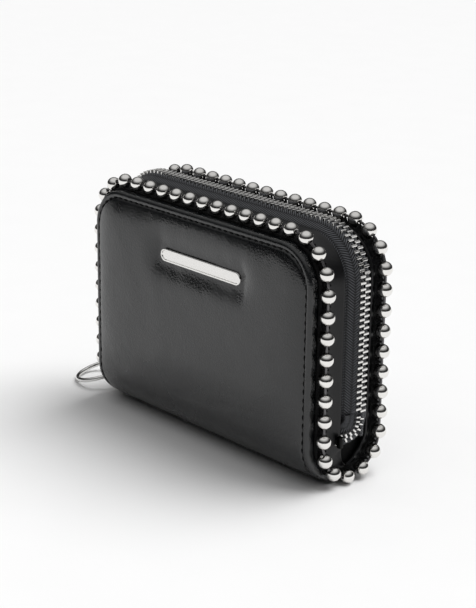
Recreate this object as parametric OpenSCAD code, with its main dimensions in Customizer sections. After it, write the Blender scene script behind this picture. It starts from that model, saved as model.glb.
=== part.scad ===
// Zip-around chain wallet, standing on its rounded spine.
// X runs along the spine, Y from the front cover to the back cover, Z up.
// The origin is on the surface it stands on, under the middle of the object.

/* [Ball chain] */
// Width between the left and right runs of the chain, centre to centre
chain_w = 116; // [100:1:140]
// Depth between the front and back runs of the chain, centre to centre
chain_d = 26; // [24:1:30]
// Height of the top runs of the chain above the floor
chain_top = 85; // [75:1:100]
// Radius of the chain line round the top corners
corner_r = 17; // [12:1:22]
// Diameter of one ball
ball_d = 5; // [3.5:0.1:5]
// Number of balls in the closed loop
ball_count = 80; // [60:1:100]
// Diameter of the wire between two balls
link_d = 1; // [0.8:0.1:1.6]

/* [Leather cover] */
// How far the edge of the padded rim lies inside the chain line
rim_inset = 3; // [2.6:0.1:5]
// Distance from the chain plane out to the leather face
face_out = 4.8; // [4:0.1:6]
// Roll radius of the rim
rim_roll = 2.2; // [1.6:0.1:2.6]
// Thickness of the cover leather
leather_t = 1.2; // [0.8:0.1:1.4]
// Leather below the chain line at the bottom of the spine
spine_drop = 2.7; // [2.4:0.1:4]
// How far the rounded spine is pressed flat where it stands
spine_flat = 0.25; // [0.1:0.05:0.5]

/* [Zip] */
// Distance of the zip's middle behind the middle of the object
zip_y = 2; // [0:0.5:3]
// How far the teeth stand outside the chain line
zip_out = 1.5; // [0.5:0.1:2.5]
// Distance between two teeth of one row
tooth_pitch = 2; // [1.6:0.1:3]
// Length of a tooth across the zip
tooth_l = 2.15; // [1.6:0.05:2.2]
// Thickness of the woven tape
tape_t = 0.5; // [0.3:0.1:0.7]
// Height of the parked slider's middle
slider_z = 14.2; // [13:0.1:15]

/* [Badge] */
// Length of the plain metal bar
badge_l = 40.5; // [20:0.5:60]
// Height of the bar
badge_h = 4.6; // [3:0.1:8]
// Thickness of the bar
badge_t = 1.1; // [0.8:0.1:2]
// Height of the bar's middle above the floor
badge_z = 65.2; // [40:0.5:70]
// Distance of the bar's middle to the right of the object's middle
badge_x = 3.2; // [-20:0.5:20]

/* [Pull] */
// Radius of the ring, to the middle of its wire
ring_r = 10; // [7:0.5:12]
// Diameter of the ring's wire
ring_wire = 1.6; // [1.2:0.1:2]
// Length of the flat link, between its bar and its eye
link_drop = 7.2; // [6:0.1:9]

/* [Inside] */
// Width of the card pockets
pocket_w = 98; // [90:1:102]
// Thickness of a card pocket panel
pocket_t = 0.5; // [0.4:0.1:0.6]
// Heights of the three pocket edges above the floor
pocket_tops = [64, 54, 44];
// Width of the coin pocket
coin_w = 94; // [80:1:96]
// Height of the coin pocket's zip above the floor
coin_top = 68; // [55:1:70]

/* [Hidden] */
$fn = 48;

leather = "#151516";
dark_cloth = "#1b1b1e";
silver = "#c9c9c6";
nickel = "#b9bab8";
foam_grey = "#5c5c5e";
board_grey = "#8a8378";

eps = 0.05;                        // overlap that joins two shapes of one solid
lap = 0.4;                         // overlap of the rim with the face of the cover
fit_gap = 0.05;                    // gap between pieces that touch
half_w = chain_w / 2;
half_d = chain_d / 2;
axis_z = half_d + spine_drop;      // centre height of the round spine
corner_z = chain_top - corner_r;   // centre height of the top corners
face_y = half_d + face_out;        // leather face, from the middle plane
hinge_z = axis_z + 0.3;            // the front cover folds on this line
front_z = hinge_z + 0.3;           // lowest point of the folding half
bed_t = 0.45;                      // thickness of the binding under the chain
bed_y = 1.2;                       // half width of the binding, front side
bed_back = 2.1;                    // half width of the binding, inner side
board_t = 1;
pad_t = 1.9;
lining_t = 0.6;
lining_inset = rim_inset + leather_t + 0.3;
front_band_y = -4.4;               // free edge of the front side band
back_band_y = 8.2;                 // free edge of the back side band
band_t = 1.1;
teeth_from_left = slider_z + 7;    // lowest front tooth on the left
teeth_from_right = hinge_z + 8.6;  // lowest front tooth on the right
tail_from = half_d - 3;            // lowest end of the tapes
row_gap = 0.15;                    // half the gap between the rows
tooth_t = 1.5;                     // thickness of a tooth
teeth_u = zip_out - tape_t / 2;    // middle of the teeth, outside the chain line
tape_u = teeth_u - tooth_t / 2 - fit_gap;
spine_in = half_d - 0.4;           // inner radius of the spine leather
gusset_r = half_d - 2.1;

// ---- the arch: up the left side, over the top, down the right side ----

column_l = corner_z - axis_z;
bend_l = corner_r * PI / 2;
top_l = chain_w - 2 * corner_r;
arch_l = 2 * column_l + 2 * bend_l + top_l;
u_l = half_d * PI;
loop_l = 2 * arch_l + 2 * u_l;
ball_pitch = loop_l / ball_count;
ball_phase = 6.15;                 // distance of the first ball from the spine

function deg(arc, r) = arc / r * 180 / PI;

// Point on the arch at distance s from its left foot: x, z, angle of the outward normal
function arch_point(s) =
    s < column_l ? [-half_w, axis_z + s, 180] :
    s < column_l + bend_l ?
        let(a = deg(s - column_l, corner_r))
        [-half_w + corner_r * (1 - cos(a)), corner_z + corner_r * sin(a), 180 - a] :
    s < column_l + bend_l + top_l ?
        [-half_w + corner_r + s - column_l - bend_l, chain_top, 90] :
    s < column_l + 2 * bend_l + top_l ?
        let(a = deg(s - column_l - bend_l - top_l, corner_r))
        [half_w - corner_r * (1 - sin(a)), corner_z + corner_r * cos(a), 90 - a] :
    [half_w, corner_z - (s - column_l - 2 * bend_l - top_l), 0];

// Point on the closed chain loop: front arch, right spine end, back arch, left spine end
function loop_point(s) =
    s < arch_l ? let(p = arch_point(s)) [p.x, -half_d, p.y] :
    s < arch_l + u_l ?
        let(a = deg(s - arch_l, half_d))
        [half_w, -half_d * cos(a), axis_z - half_d * sin(a)] :
    s < 2 * arch_l + u_l ?
        let(p = arch_point(2 * arch_l + u_l - s)) [p.x, half_d, p.y] :
    let(a = deg(s - 2 * arch_l - u_l, half_d))
    [-half_w, half_d * cos(a), axis_z - half_d * sin(a)];

function zone(s) =
    s < arch_l ? "front" :
    s < arch_l + u_l ? "spine" :
    s < 2 * arch_l + u_l ? "back" : "spine";

// ---- shared shapes ----

// Panel outline in X and Z, offset from the chain line
module outline(offset_u, low_z) {
    hw = half_w + offset_u;
    r = corner_r + offset_u;
    translate([-hw, low_z]) square([2 * hw, corner_z - low_z]);
    translate([-hw + r, corner_z - eps]) square([2 * (hw - r), r + eps]);
    for (x = [-hw + r, hw - r]) translate([x, corner_z]) circle(r);
}

// Slab standing in the XZ plane between two depths
module slab(y0, y1) {
    translate([0, y1, 0])
        rotate([90, 0, 0])
            linear_extrude(y1 - y0) children();
}

// Sweep of a profile (outward distance, depth) along the arch from two feet
module along_arch(left_z, right_z) {
    translate([half_w, 0, right_z])
        linear_extrude(corner_z - right_z + eps) children();
    translate([-half_w, 0, left_z])
        linear_extrude(corner_z - left_z + eps) mirror([1, 0]) children();
    translate([half_w - corner_r + eps, 0, chain_top])
        rotate([0, -90, 0])
            linear_extrude(top_l + 2 * eps) children();
    translate([half_w - corner_r, 0, corner_z]) quarter_bend() children();
    translate([-half_w + corner_r, 0, corner_z]) mirror([1, 0, 0]) quarter_bend() children();
}

module quarter_bend() {
    rotate([90, 0, 0])
        rotate_extrude(angle = 90, $fn = 96)
            translate([corner_r, 0])
                mirror([0, 1]) children();
}

// Places a piece on the arch: its X axis points outward, its Z axis runs along the arch
module on_arch(s) {
    p = arch_point(s);
    translate([p.x, 0, p.y])
        rotate([0, -p[2], 0]) children();
}

module rod(from, to, d) {
    v = to - from;
    l = norm(v);
    translate(from)
        rotate([0, acos(v.z / l), atan2(v.y, v.x)])
            cylinder(d = d, h = l, $fn = 16);
}

// ---- the ball chain ----

module chain_balls(part) {
    for (k = [0:ball_count - 1]) {
        s = ball_phase + k * ball_pitch;
        if (zone(s) == part)
            translate(loop_point(s)) sphere(d = ball_d, $fn = 24);
    }
}

module chain_links(part) {
    for (k = [0:ball_count - 1]) {
        s = ball_phase + k * ball_pitch;
        middle = (s + ball_pitch / 2) % loop_l;
        a = loop_point(s);
        b = loop_point((s + ball_pitch) % loop_l);
        trim = (b - a) / norm(b - a) * (ball_d / 2 + fit_gap);
        if (zone(middle) == part) rod(a + trim, b - trim, link_d);
    }
}

// ---- one padded cover, drawn as the front one ----

module cover_shell(low_z) {
    along_arch(low_z, low_z) rim_profile();
    slab(-face_y, -face_y + leather_t) outline(-rim_inset - rim_roll, low_z);
}

// Edge of the cover: the leather turns back from the face towards the chain
module rim_profile() {
    back = -half_d - bed_y - fit_gap;
    middle = [-rim_inset - rim_roll, -face_y + rim_roll];
    polygon(concat(
        [[-rim_inset, back]],
        [for (a = [0:15:90]) middle + rim_roll * [cos(a), -sin(a)]],
        [middle - [lap, rim_roll], middle - [lap, rim_roll - leather_t]],
        [for (a = [90:-15:0]) middle + (rim_roll - leather_t) * [cos(a), -sin(a)]],
        [[-rim_inset - leather_t, back]]
    ));
}

module padding(low_z) {
    y0 = -face_y + leather_t + fit_gap;
    slab(y0, y0 + pad_t) outline(-lining_inset - 1, low_z);
}

module board(low_z) {
    y0 = -face_y + leather_t + pad_t + 2 * fit_gap;
    slab(y0, y0 + board_t) outline(-lining_inset, low_z);
}

lining_y = -face_y + leather_t + pad_t + board_t + 3 * fit_gap;

module lining(low_z) {
    slab(lining_y, lining_y + lining_t) outline(-lining_inset, low_z);
}

module card_pocket(number) {
    y0 = lining_y + lining_t + 0.35 + number * 0.9;
    top = pocket_tops[number];
    low = hinge_z + 3;
    slab(y0, y0 + pocket_t) translate([-pocket_w / 2, low]) square([pocket_w, top - low]);
}

module chain_bed(low_z) {
    along_arch(low_z, low_z)
        translate([-rim_inset, -half_d - bed_y]) square([bed_t, bed_y + bed_back]);
}

// Leather band from the chain to the zip, its free edge rounded
module side_band(edge_y, low_z) {
    y0 = -half_d + bed_back + fit_gap;
    rise = 1.45;
    edge_u = -rim_inset + bed_t + rise;
    along_arch(low_z, low_z)
        polygon(concat(
            [[-rim_inset - 0.5, y0], [-rim_inset + bed_t, y0]],
            [for (a = [0:30:180])
                [edge_u - band_t / 2 * (1 - cos(a)), edge_y + band_t / 2 * sin(a)]]
        ));
}

// Tape profile from the inside of a band out under the teeth
module tape_profile(edge_y, band_edge_y) {
    under = -rim_inset + 0.6 - band_t;
    outer = [
        [under, band_edge_y - 2],
        [under + 0.3, band_edge_y + band_t * 0.7],
        [tape_u, band_edge_y + 2.5],
        [tape_u, edge_y]
    ];
    inner = [for (i = [3:-1:0]) outer[i] - [tape_t, 0]];
    polygon(concat(outer, inner));
}

module tooth(side) {
    translate([teeth_u, zip_y + side * (row_gap + tooth_l / 2), 0])
        cube([tooth_t, tooth_l, 0.95], center = true);
}

module teeth_row(side, left_z, right_z, phase) {
    s0 = left_z - axis_z;
    s1 = arch_l - (right_z - axis_z);
    for (s = [s0 + phase : tooth_pitch : s1]) on_arch(s) tooth(side);
}

// ---- front half ----

badge_pin_x = [badge_x - badge_l / 2 + 6, badge_x + badge_l / 2 - 6];
pin_r = 0.6;
pin_hole_r = 0.65;
washer_y = -face_y + leather_t + pad_t + board_t + 2 * fit_gap;

module badge_holes() {
    for (x = badge_pin_x)
        translate([x, 0, badge_z])
            rotate([90, 0, 0]) cylinder(r = pin_hole_r, h = face_y + 1, $fn = 24);
}

module front_cover() {
    color(leather) difference() {
        cover_shell(front_z);
        badge_holes();
    }
}

module front_padding() {
    color(foam_grey) difference() {
        padding(front_z);
        badge_holes();
    }
}

module front_board() {
    color(board_grey) difference() {
        board(front_z);
        badge_holes();
        for (x = badge_pin_x)
            translate([x, washer_y + 0.1, badge_z])
                rotate([90, 0, 0]) cylinder(r = 3.1, h = 0.6, $fn = 32);
    }
}

module front_lining() {
    color(dark_cloth) lining(front_z);
}

module front_chain_bed() {
    color(dark_cloth) chain_bed(front_z);
}

module front_side_band() {
    color(leather) side_band(front_band_y, front_z);
}

module front_zip_tape() {
    color(dark_cloth)
        along_arch(teeth_from_left - 0.7, teeth_from_right - 0.7)
            tape_profile(zip_y - 0.8, front_band_y);
}

module front_zip_teeth() {
    color(silver) teeth_row(-1, teeth_from_left, teeth_from_right, 0);
}

module badge_bar() {
    color(silver)
        slab(-face_y - badge_t - fit_gap, -face_y - fit_gap)
            translate([badge_x, badge_z]) {
                square([badge_l - badge_h, badge_h], center = true);
                for (side = [-1, 1])
                    translate([side * (badge_l - badge_h) / 2, 0]) circle(d = badge_h);
            }
}

module badge_pins() {
    color(nickel)
        for (x = badge_pin_x)
            translate([x, washer_y - 0.5 - fit_gap, badge_z])
                rotate([90, 0, 0])
                    cylinder(r = pin_r, h = face_y - fit_gap + washer_y - 0.5, $fn = 24);
}

module badge_washers() {
    color(nickel)
        for (x = badge_pin_x)
            translate([x, washer_y - 0.05, badge_z])
                rotate([90, 0, 0]) cylinder(r = 3, h = 0.4, $fn = 32);
}

// ---- back half ----

module back_cover() {
    color(leather) mirror([0, 1, 0]) cover_shell(hinge_z);
}

module back_padding() {
    color(foam_grey) mirror([0, 1, 0]) padding(hinge_z);
}

module back_board() {
    color(board_grey) mirror([0, 1, 0]) board(hinge_z);
}

module back_lining() {
    color(dark_cloth) mirror([0, 1, 0]) lining(hinge_z);
}

module back_chain_bed() {
    color(dark_cloth) mirror([0, 1, 0]) chain_bed(hinge_z);
}

module back_side_band() {
    color(leather) mirror([0, 1, 0]) side_band(-back_band_y, hinge_z);
}

module back_zip_tape() {
    color(dark_cloth)
        mirror([0, 1, 0])
            along_arch(hinge_z, hinge_z) tape_profile(-zip_y - 0.8, -back_band_y);
}

module back_zip_teeth() {
    color(silver)
        teeth_row(1, teeth_from_left, teeth_from_right, tooth_pitch / 2);
}

// ---- spine ----

module spine_profile() {
    steps = 48;
    a_y = face_y;
    a_z = axis_z + spine_flat;
    difference() {
        intersection() {
            translate([0, axis_z])
                polygon([for (i = [0:steps])
                    let(a = 180 + 180 * i / steps) [a_y * cos(a), a_z * sin(a)]]);
            translate([-face_y, 0]) square([2 * face_y, axis_z]);
        }
        translate([0, axis_z]) circle(spine_in);
    }
    for (side = [-1, 1])
        translate([side * (face_y + spine_in) / 2, axis_z + 0.1])
            square([face_y - spine_in, 0.4], center = true);
}

// Extrusion of a profile (depth, height) along X
module along_x(x0, x1) {
    translate([x0, 0, 0])
        rotate([90, 0, 90]) linear_extrude(x1 - x0) children();
}

// Lower half of a ring round the spine's axis
module half_ring(r0, r1) {
    translate([0, axis_z]) difference() {
        circle(r1, $fn = 64);
        circle(r0, $fn = 64);
        translate([-r1 - 1, 0.25]) square([2 * r1 + 2, r1 + 1]);
    }
}

module spine_cover() {
    color(leather)
        along_x(-half_w + rim_inset + fit_gap, half_w - rim_inset - fit_gap) spine_profile();
}

module spine_lining() {
    color(dark_cloth)
        along_x(-half_w + rim_inset + 1, half_w - rim_inset - 1)
            half_ring(spine_in - 0.6, spine_in - fit_gap);
}

module spine_chain_bed() {
    color(dark_cloth)
        for (x = [-half_w + rim_inset - bed_t, half_w - rim_inset])
            along_x(x, x + bed_t) half_ring(half_d - bed_back, half_d + bed_y);
}

module end_gussets() {
    color(leather)
        for (side = [-1, 1])
            translate([side * (half_w - rim_inset + bed_t - 0.5), 0, 0])
                along_x(-0.5, 0.5) half_ring(0, gusset_r - fit_gap);
}

// ---- zip ends ----

// Left end: the front tape between the parked slider and the gusset
module zip_end_tape() {
    color(dark_cloth) {
        for (side = [-1, 1])
            translate([-half_w, zip_y, tail_from])
                mirror([0, side > 0 ? 1 : 0, 0])
                    linear_extrude((side < 0 ? teeth_from_left - 1 : hinge_z - 0.4) - tail_from)
                        mirror([1, 0]) end_tape_profile();
        translate([half_w - 1.4, zip_y - 4, hinge_z + 2.8])
            cube([tape_t, 3, 8.6], center = true);
    }
}

module end_tape_profile() {
    polygon([
        [-rim_inset + 1.2, -5.3],
        [tape_u, -4],
        [tape_u, -0.8],
        [tape_u - tape_t, -0.8],
        [tape_u - tape_t, -4],
        [-rim_inset + 1.2 - tape_t, -5.3]
    ]);
}

tail_r = 8;                        // bend radius of the zip's lower right end
tail_teeth = 10;

// Right end: the joined rows bend forward and tuck in behind the front band
module zip_end_teeth() {
    color(silver)
        for (i = [0:tail_teeth - 1])
            let(a = 4 + 7 * i, side = i % 2 == 0 ? -1 : 1)
            translate([
                half_w + zip_out - 0.25 - 0.014 * i * i,
                zip_y - tail_r + (tail_r + side * 1.2) * cos(a),
                teeth_from_right - 0.9 - (tail_r + side * 1.2) * sin(a)
            ])
                rotate([-a, 0, 0]) cube([1.3, 2.2, 0.8], center = true);
}

module zip_bottom_stop() {
    a = 4 + 7 * tail_teeth + 12;
    color(nickel)
        translate([
            half_w + zip_out - 1.6,
            zip_y - tail_r + tail_r * cos(a),
            teeth_from_right - 0.9 - tail_r * sin(a)
        ])
            rotate([-a, 0, 0]) cube([1.6, 4, 1.6], center = true);
}

module zip_top_stops() {
    color(nickel)
        for (side = [-1, 1])
            translate([-half_w - teeth_u, zip_y + side * 1.55, slider_z - 3.7])
                cube([1.2, 1.4, 1.6], center = true);
}

// ---- coin pocket ----

coin_y = [-2.5, 2.1];              // outer faces of the pocket
coin_wall_t = 0.6;
coin_low = 7;

module coin_wall(y) {
    along_x(-coin_w / 2, coin_w / 2)
        translate([y, coin_low]) square([coin_wall_t, coin_top - coin_low]);
}

module coin_pocket_front_wall() {
    color(dark_cloth) coin_wall(coin_y[0]);
}

module coin_pocket_back_wall() {
    color(dark_cloth) coin_wall(coin_y[1] - coin_wall_t);
}

module coin_pocket_edging() {
    y0 = coin_y[0] + coin_wall_t + fit_gap;
    y1 = coin_y[1] - coin_wall_t - fit_gap;
    color(leather)
        slab(y0, y1) difference() {
            translate([-coin_w / 2, coin_low]) square([coin_w, coin_top - coin_low]);
            translate([-coin_w / 2 + 1.5, coin_low + 1.5])
                square([coin_w - 3, coin_top - coin_low]);
        }
}

coin_mid = (coin_y[0] + coin_y[1]) / 2;

module coin_zip_tape() {
    color(dark_cloth)
        for (side = [-1, 1])
            translate([0, coin_mid + side * 1.55, coin_top + 0.3])
                cube([coin_w - 2, 1.5, 0.5], center = true);
}

module coin_zip_teeth() {
    count = floor((coin_w - 8) / tooth_pitch) - 1;
    color(silver)
        for (i = [0:count - 1])
            for (side = [-1, 1])
                translate([
                    -coin_w / 2 + 4 + (i + (side > 0 ? 0.5 : 0)) * tooth_pitch,
                    coin_mid + side * 0.8,
                    coin_top + 1.25
                ])
                    cube([0.9, 1.3, 1.3], center = true);
}

// ---- sliders and pulls ----

// Two plates joined by a wedge, drawn flat: X along the zip, Z out of it
module slider(l, w, inner_w, gap, plate_t, wedge_x) {
    for (side = [-1, 1])
        translate([0, 0, side * (gap + plate_t) / 2])
            slider_plate(l, side < 0 ? inner_w : w, plate_t);
    translate([wedge_x, 0, 0]) cylinder(d = 1.1, h = gap + 2 * eps, center = true);
    for (side = [-1, 1])
        translate([0, side * (w - 0.7) / 2, gap / 2 - 0.2])
            cube([l - w * 0.5, 0.7, 0.4 + eps], center = true);
}

module slider_plate(l, w, plate_t) {
    cube([l - w * 0.5, w, plate_t], center = true);
    for (side = [-1, 1])
        translate([side * (l - w * 0.5) / 2, 0, 0])
            cylinder(d = w * 0.5, h = plate_t, center = true);
}

slider_l = 9.4;
slider_w = 6.8;
slider_gap = 2.6;
plate_t = 0.9;
slider_x = -half_w - zip_out + 0.5;            // middle of the channel
plate_x = slider_x - slider_gap / 2 - plate_t; // outer face of the slider

module zip_slider_body() {
    color(nickel)
        translate([slider_x, zip_y, slider_z])
            rotate([0, -90, 0])
                slider(slider_l, slider_w, slider_w, slider_gap, plate_t, -2.3);
}

bail_rise = 3.4;
bail_wire = 1.1;
bar_z = slider_z + 0.6;

module zip_slider_bail() {
    color(nickel)
        translate([plate_x - fit_gap, zip_y + bail_wire / 2, 0])
            rotate([90, 0, 0]) linear_extrude(bail_wire) bail_profile();
}

module bail_profile() {
    difference() {
        translate([-bail_rise, bar_z - 3]) square([bail_rise, 6]);
        translate([-bail_rise + bail_wire, bar_z - 3 + bail_wire])
            square([bail_rise, 6 - 2 * bail_wire]);
    }
}

link_x = plate_x - 1.45;                       // middle of the flat link
link_t = 0.9;
eye_z = bar_z - link_drop;
eye_r = 2.3;
link_w = 6.2;

module pull_link() {
    color(nickel)
        translate([link_x - link_t / 2, 0, 0])
            along_x(0, link_t) difference() {
                union() {
                    translate([zip_y - 2, eye_z]) square([4, link_drop + 0.6]);
                    translate([zip_y, eye_z]) circle(d = link_w, $fn = 32);
                }
                translate([zip_y, eye_z]) circle(eye_r, $fn = 32);
                translate([zip_y - 1.1, bar_z - 4]) square([2.2, 3.5]);
            }
}

// The ring leans from the link's eye down to the floor in front of the wallet's left end
hold_z = eye_z - 0.7;
ring_drop = (hold_z - ring_wire / 2 - fit_gap) / (2 * ring_r + ring_wire / 2);
ring_turn = 37.7;
ring_pitch = asin(ring_drop);

module pull_ring() {
    color(silver)
        translate([link_x, zip_y, hold_z])
            rotate([0, 0, 180 + ring_turn])
                rotate([0, ring_pitch, 0])
                    translate([ring_r, 0, 0])
                        rotate_extrude($fn = 64)
                            translate([ring_r, 0]) circle(d = ring_wire, $fn = 20);
}

coin_slider_x = coin_w / 2 - 8;
coin_gap = 2.2;                    // between the slider's plates
coin_plate_t = 0.7;
coin_inner_w = 3;                  // the lower plate runs between the pocket's walls
coin_slider_z = coin_top - 0.1 + coin_gap / 2;

module coin_slider_body() {
    color(nickel)
        translate([coin_slider_x, coin_mid, coin_slider_z])
            slider(7.4, 5.2, coin_inner_w, coin_gap, coin_plate_t, 2.1);
}

coin_plate_z = coin_slider_z + coin_gap / 2 + coin_plate_t;

module coin_slider_bail() {
    color(nickel)
        translate([coin_slider_x, coin_mid + 0.5, coin_plate_z + fit_gap])
            rotate([90, 0, 0])
                linear_extrude(1) difference() {
                    translate([-2, 0]) square([4, 2.2]);
                    translate([-1.2, -1]) square([2.4, 2.4]);
                }
}

// Flat tab lying along the coin zip, held by a slot over the bail
module coin_pull_tab() {
    color(nickel)
        translate([coin_slider_x, coin_mid, coin_plate_z + 0.8])
            difference() {
                translate([-11.8, -2, -0.3]) cube([12.3, 4, 0.6]);
                translate([-3.4, -0.8, -1]) cube([3, 1.6, 2]);
                translate([-9.3, 0, -1]) cylinder(r = 1, h = 2, $fn = 24);
            }
}

front_cover();
front_padding();
front_board();
front_lining();
color(leather) card_pocket(0);  // front_card_pocket_back
color(leather) card_pocket(1);  // front_card_pocket_middle
color(leather) card_pocket(2);  // front_card_pocket_front
front_chain_bed();
color(silver) chain_balls("front");  // front_chain_balls
color(nickel) chain_links("front");  // front_chain_links
front_side_band();
front_zip_tape();
front_zip_teeth();
badge_bar();
badge_pins();
badge_washers();
back_cover();
back_padding();
back_board();
back_lining();
color(leather) mirror([0, 1, 0]) card_pocket(0);  // back_card_pocket_back
color(leather) mirror([0, 1, 0]) card_pocket(1);  // back_card_pocket_middle
color(leather) mirror([0, 1, 0]) card_pocket(2);  // back_card_pocket_front
back_chain_bed();
color(silver) chain_balls("back");  // back_chain_balls
color(nickel) chain_links("back");  // back_chain_links
back_side_band();
back_zip_tape();
back_zip_teeth();
spine_cover();
spine_lining();
spine_chain_bed();
color(silver) chain_balls("spine");  // spine_chain_balls
color(nickel) chain_links("spine");  // spine_chain_links
end_gussets();
zip_end_tape();
zip_end_teeth();
zip_bottom_stop();
zip_top_stops();
coin_pocket_front_wall();
coin_pocket_back_wall();
coin_pocket_edging();
coin_zip_tape();
coin_zip_teeth();
zip_slider_body();
zip_slider_bail();
pull_link();
pull_ring();
coin_slider_body();
coin_slider_bail();
coin_pull_tab();
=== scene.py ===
import bpy, bmesh, math
from mathutils import Matrix, Vector, noise


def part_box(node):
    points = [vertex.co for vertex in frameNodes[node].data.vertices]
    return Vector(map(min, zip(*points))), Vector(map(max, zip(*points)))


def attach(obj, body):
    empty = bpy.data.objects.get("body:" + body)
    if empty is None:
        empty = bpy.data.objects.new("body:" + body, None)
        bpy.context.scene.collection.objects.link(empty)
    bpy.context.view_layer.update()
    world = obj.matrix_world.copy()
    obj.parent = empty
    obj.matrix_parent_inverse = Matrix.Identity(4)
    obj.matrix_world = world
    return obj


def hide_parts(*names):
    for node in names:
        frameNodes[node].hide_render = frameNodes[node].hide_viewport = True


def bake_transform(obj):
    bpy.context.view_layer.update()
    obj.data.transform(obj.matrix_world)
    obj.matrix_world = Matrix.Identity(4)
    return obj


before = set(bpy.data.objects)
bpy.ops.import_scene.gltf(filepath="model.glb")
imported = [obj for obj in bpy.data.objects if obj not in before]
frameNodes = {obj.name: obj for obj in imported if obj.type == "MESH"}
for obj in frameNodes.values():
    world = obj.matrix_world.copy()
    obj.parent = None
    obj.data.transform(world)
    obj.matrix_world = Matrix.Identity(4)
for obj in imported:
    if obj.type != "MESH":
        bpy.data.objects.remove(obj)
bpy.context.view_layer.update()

# sizes below are in millimetres and meshes are written in metres
mm = 0.001
wallet = {
    "rimInset": 3.0,        # rim edge inside the chain line
    "bedFront": 1.2,        # binding in front of the chain line
    "cornerRadius": 17.0,
    "zipMiddle": 2.0,
    "foldDrop": 0.3,        # fold line below the cover's lower edge
    "ballCount": 80,
    "ballPhase": 6.15,
}


def nodeBox(name):
    low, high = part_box(name)
    return [c / mm for c in low], [c / mm for c in high]


coverLow, coverHigh = nodeBox("front_cover")
bedLow = nodeBox("front_chain_bed")[0]
spineBedLow = nodeBox("spine_chain_bed")[0]
halfWidth = coverHigh[0] + wallet["rimInset"]
chainTop = coverHigh[2] + wallet["rimInset"]
faceY = -coverLow[1]
halfDepth = -bedLow[1] - wallet["bedFront"]
axisZ = spineBedLow[2] + halfDepth + wallet["bedFront"]
cornerR = wallet["cornerRadius"]
cornerZ = chainTop - cornerR
foldZ = coverLow[2] - wallet["foldDrop"]
columnL = cornerZ - axisZ
bendL = cornerR * math.pi / 2
topL = 2 * (halfWidth - cornerR)
archL = 2 * columnL + 2 * bendL + topL
uL = halfDepth * math.pi
loopL = 2 * archL + 2 * uL
ballPitch = loopL / wallet["ballCount"]
print("sizes read from the frame", round(halfWidth, 2), round(axisZ, 2), round(ballPitch, 3))

# camera
camera = {
    "place": (0.3938, -0.3574, 0.2216),
    "right": (0.67067, 0.74164, 0.01306),
    "up": (-0.23932, 0.19968, 0.95018),
    "back": (0.70209, -0.64039, 0.31141),
    "lens": 95.8,
}
camData = bpy.data.cameras.new("camera")
camData.lens = camera["lens"]
camData.sensor_width = 36
camData.clip_start = 0.01
camData.clip_end = 50
cam = bpy.data.objects.new("camera", camData)
bpy.context.scene.collection.objects.link(cam)
turn = Matrix((camera["right"], camera["up"], camera["back"])).transposed()
cam.matrix_world = Matrix.Translation(camera["place"]) @ turn.to_4x4()
bpy.context.scene.camera = cam


# small maths

def clamp(v, low=0.0, high=1.0):
    return max(low, min(high, v))


def smooth(v, start, end):
    t = clamp((v - start) / (end - start))
    return t * t * (3 - 2 * t)


def table(x, pairs):
    if x <= pairs[0][0]:
        return pairs[0][1]
    for (x0, y0), (x1, y1) in zip(pairs, pairs[1:]):
        if x <= x1:
            return y0 + (y1 - y0) * (x - x0) / (x1 - x0)
    return pairs[-1][1]


def ripple(x, y, z=0.0, size=1.0):
    return noise.noise(Vector((x / size, y / size, z / size)))


# mesh helpers

def makeObject(name, verts, faces, uvs=None, smoothShade=True):
    mesh = bpy.data.meshes.new(name)
    mesh.from_pydata([[c * mm for c in v] for v in verts], [], faces)
    if uvs is not None:
        layer = mesh.uv_layers.new(name="path")
        corner = [0] * len(mesh.loops)
        mesh.loops.foreach_get("vertex_index", corner)
        flat = []
        for index in corner:
            flat.extend(uvs[index])
        layer.data.foreach_set("uv", flat)
    mesh.validate()
    fixed = bmesh.new()
    fixed.from_mesh(mesh)
    bmesh.ops.recalc_face_normals(fixed, faces=fixed.faces)
    fixed.to_mesh(mesh)
    fixed.free()
    for p in mesh.polygons:
        p.use_smooth = smoothShade
    obj = bpy.data.objects.new(name, mesh)
    bpy.context.scene.collection.objects.link(obj)
    return obj


def loft(name, rings, uvRings=None, closedPath=False, caps=True, sharp=None):
    size = len(rings[0])
    verts = [p for ring in rings for p in ring]
    uvs = [p for ring in uvRings for p in ring] if uvRings else None
    faces = []
    count = len(rings)
    for i in range(count if closedPath else count - 1):
        a, b = i * size, ((i + 1) % count) * size
        for k in range(size):
            k2 = (k + 1) % size
            faces.append((a + k, a + k2, b + k2, b + k))
    if caps and not closedPath:
        faces.append(tuple(range(size - 1, -1, -1)))
        faces.append(tuple((count - 1) * size + k for k in range(size)))
    obj = makeObject(name, verts, faces, uvs)
    if sharp is not None:
        obj.data.set_sharp_from_angle(angle=math.radians(sharp))
    return obj


def shellRows(name, outer, inner, thickUv=None, sharp=40):
    rings = [a + b[::-1] for a, b in zip(outer, inner)]
    uvRings = None
    if thickUv:
        uvRings = [a + a[::-1] for a in thickUv]
    return loft(name, rings, uvRings, sharp=sharp)


def paint(obj, material):
    obj.data.materials.clear()
    obj.data.materials.append(material)
    for p in obj.data.polygons:
        p.material_index = 0
    return obj


def place(obj, body, material, replaces=()):
    paint(obj, material)
    if replaces:
        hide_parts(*replaces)
    if body:
        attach(obj, body)
    return obj


# material groups

def newGroup(name, inputs, outputs):
    group = bpy.data.node_groups.new(name, "ShaderNodeTree")
    for label, kind, value in inputs:
        s = group.interface.new_socket(label, in_out="INPUT", socket_type=kind)
        if value is not None:
            s.default_value = value
    for label, kind in outputs:
        group.interface.new_socket(label, in_out="OUTPUT", socket_type=kind)
    return group, group.nodes.new("NodeGroupInput"), group.nodes.new("NodeGroupOutput")


def addNode(tree, kind, **values):
    n = tree.nodes.new(kind)
    for key, value in values.items():
        setattr(n, key, value)
    return n


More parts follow.
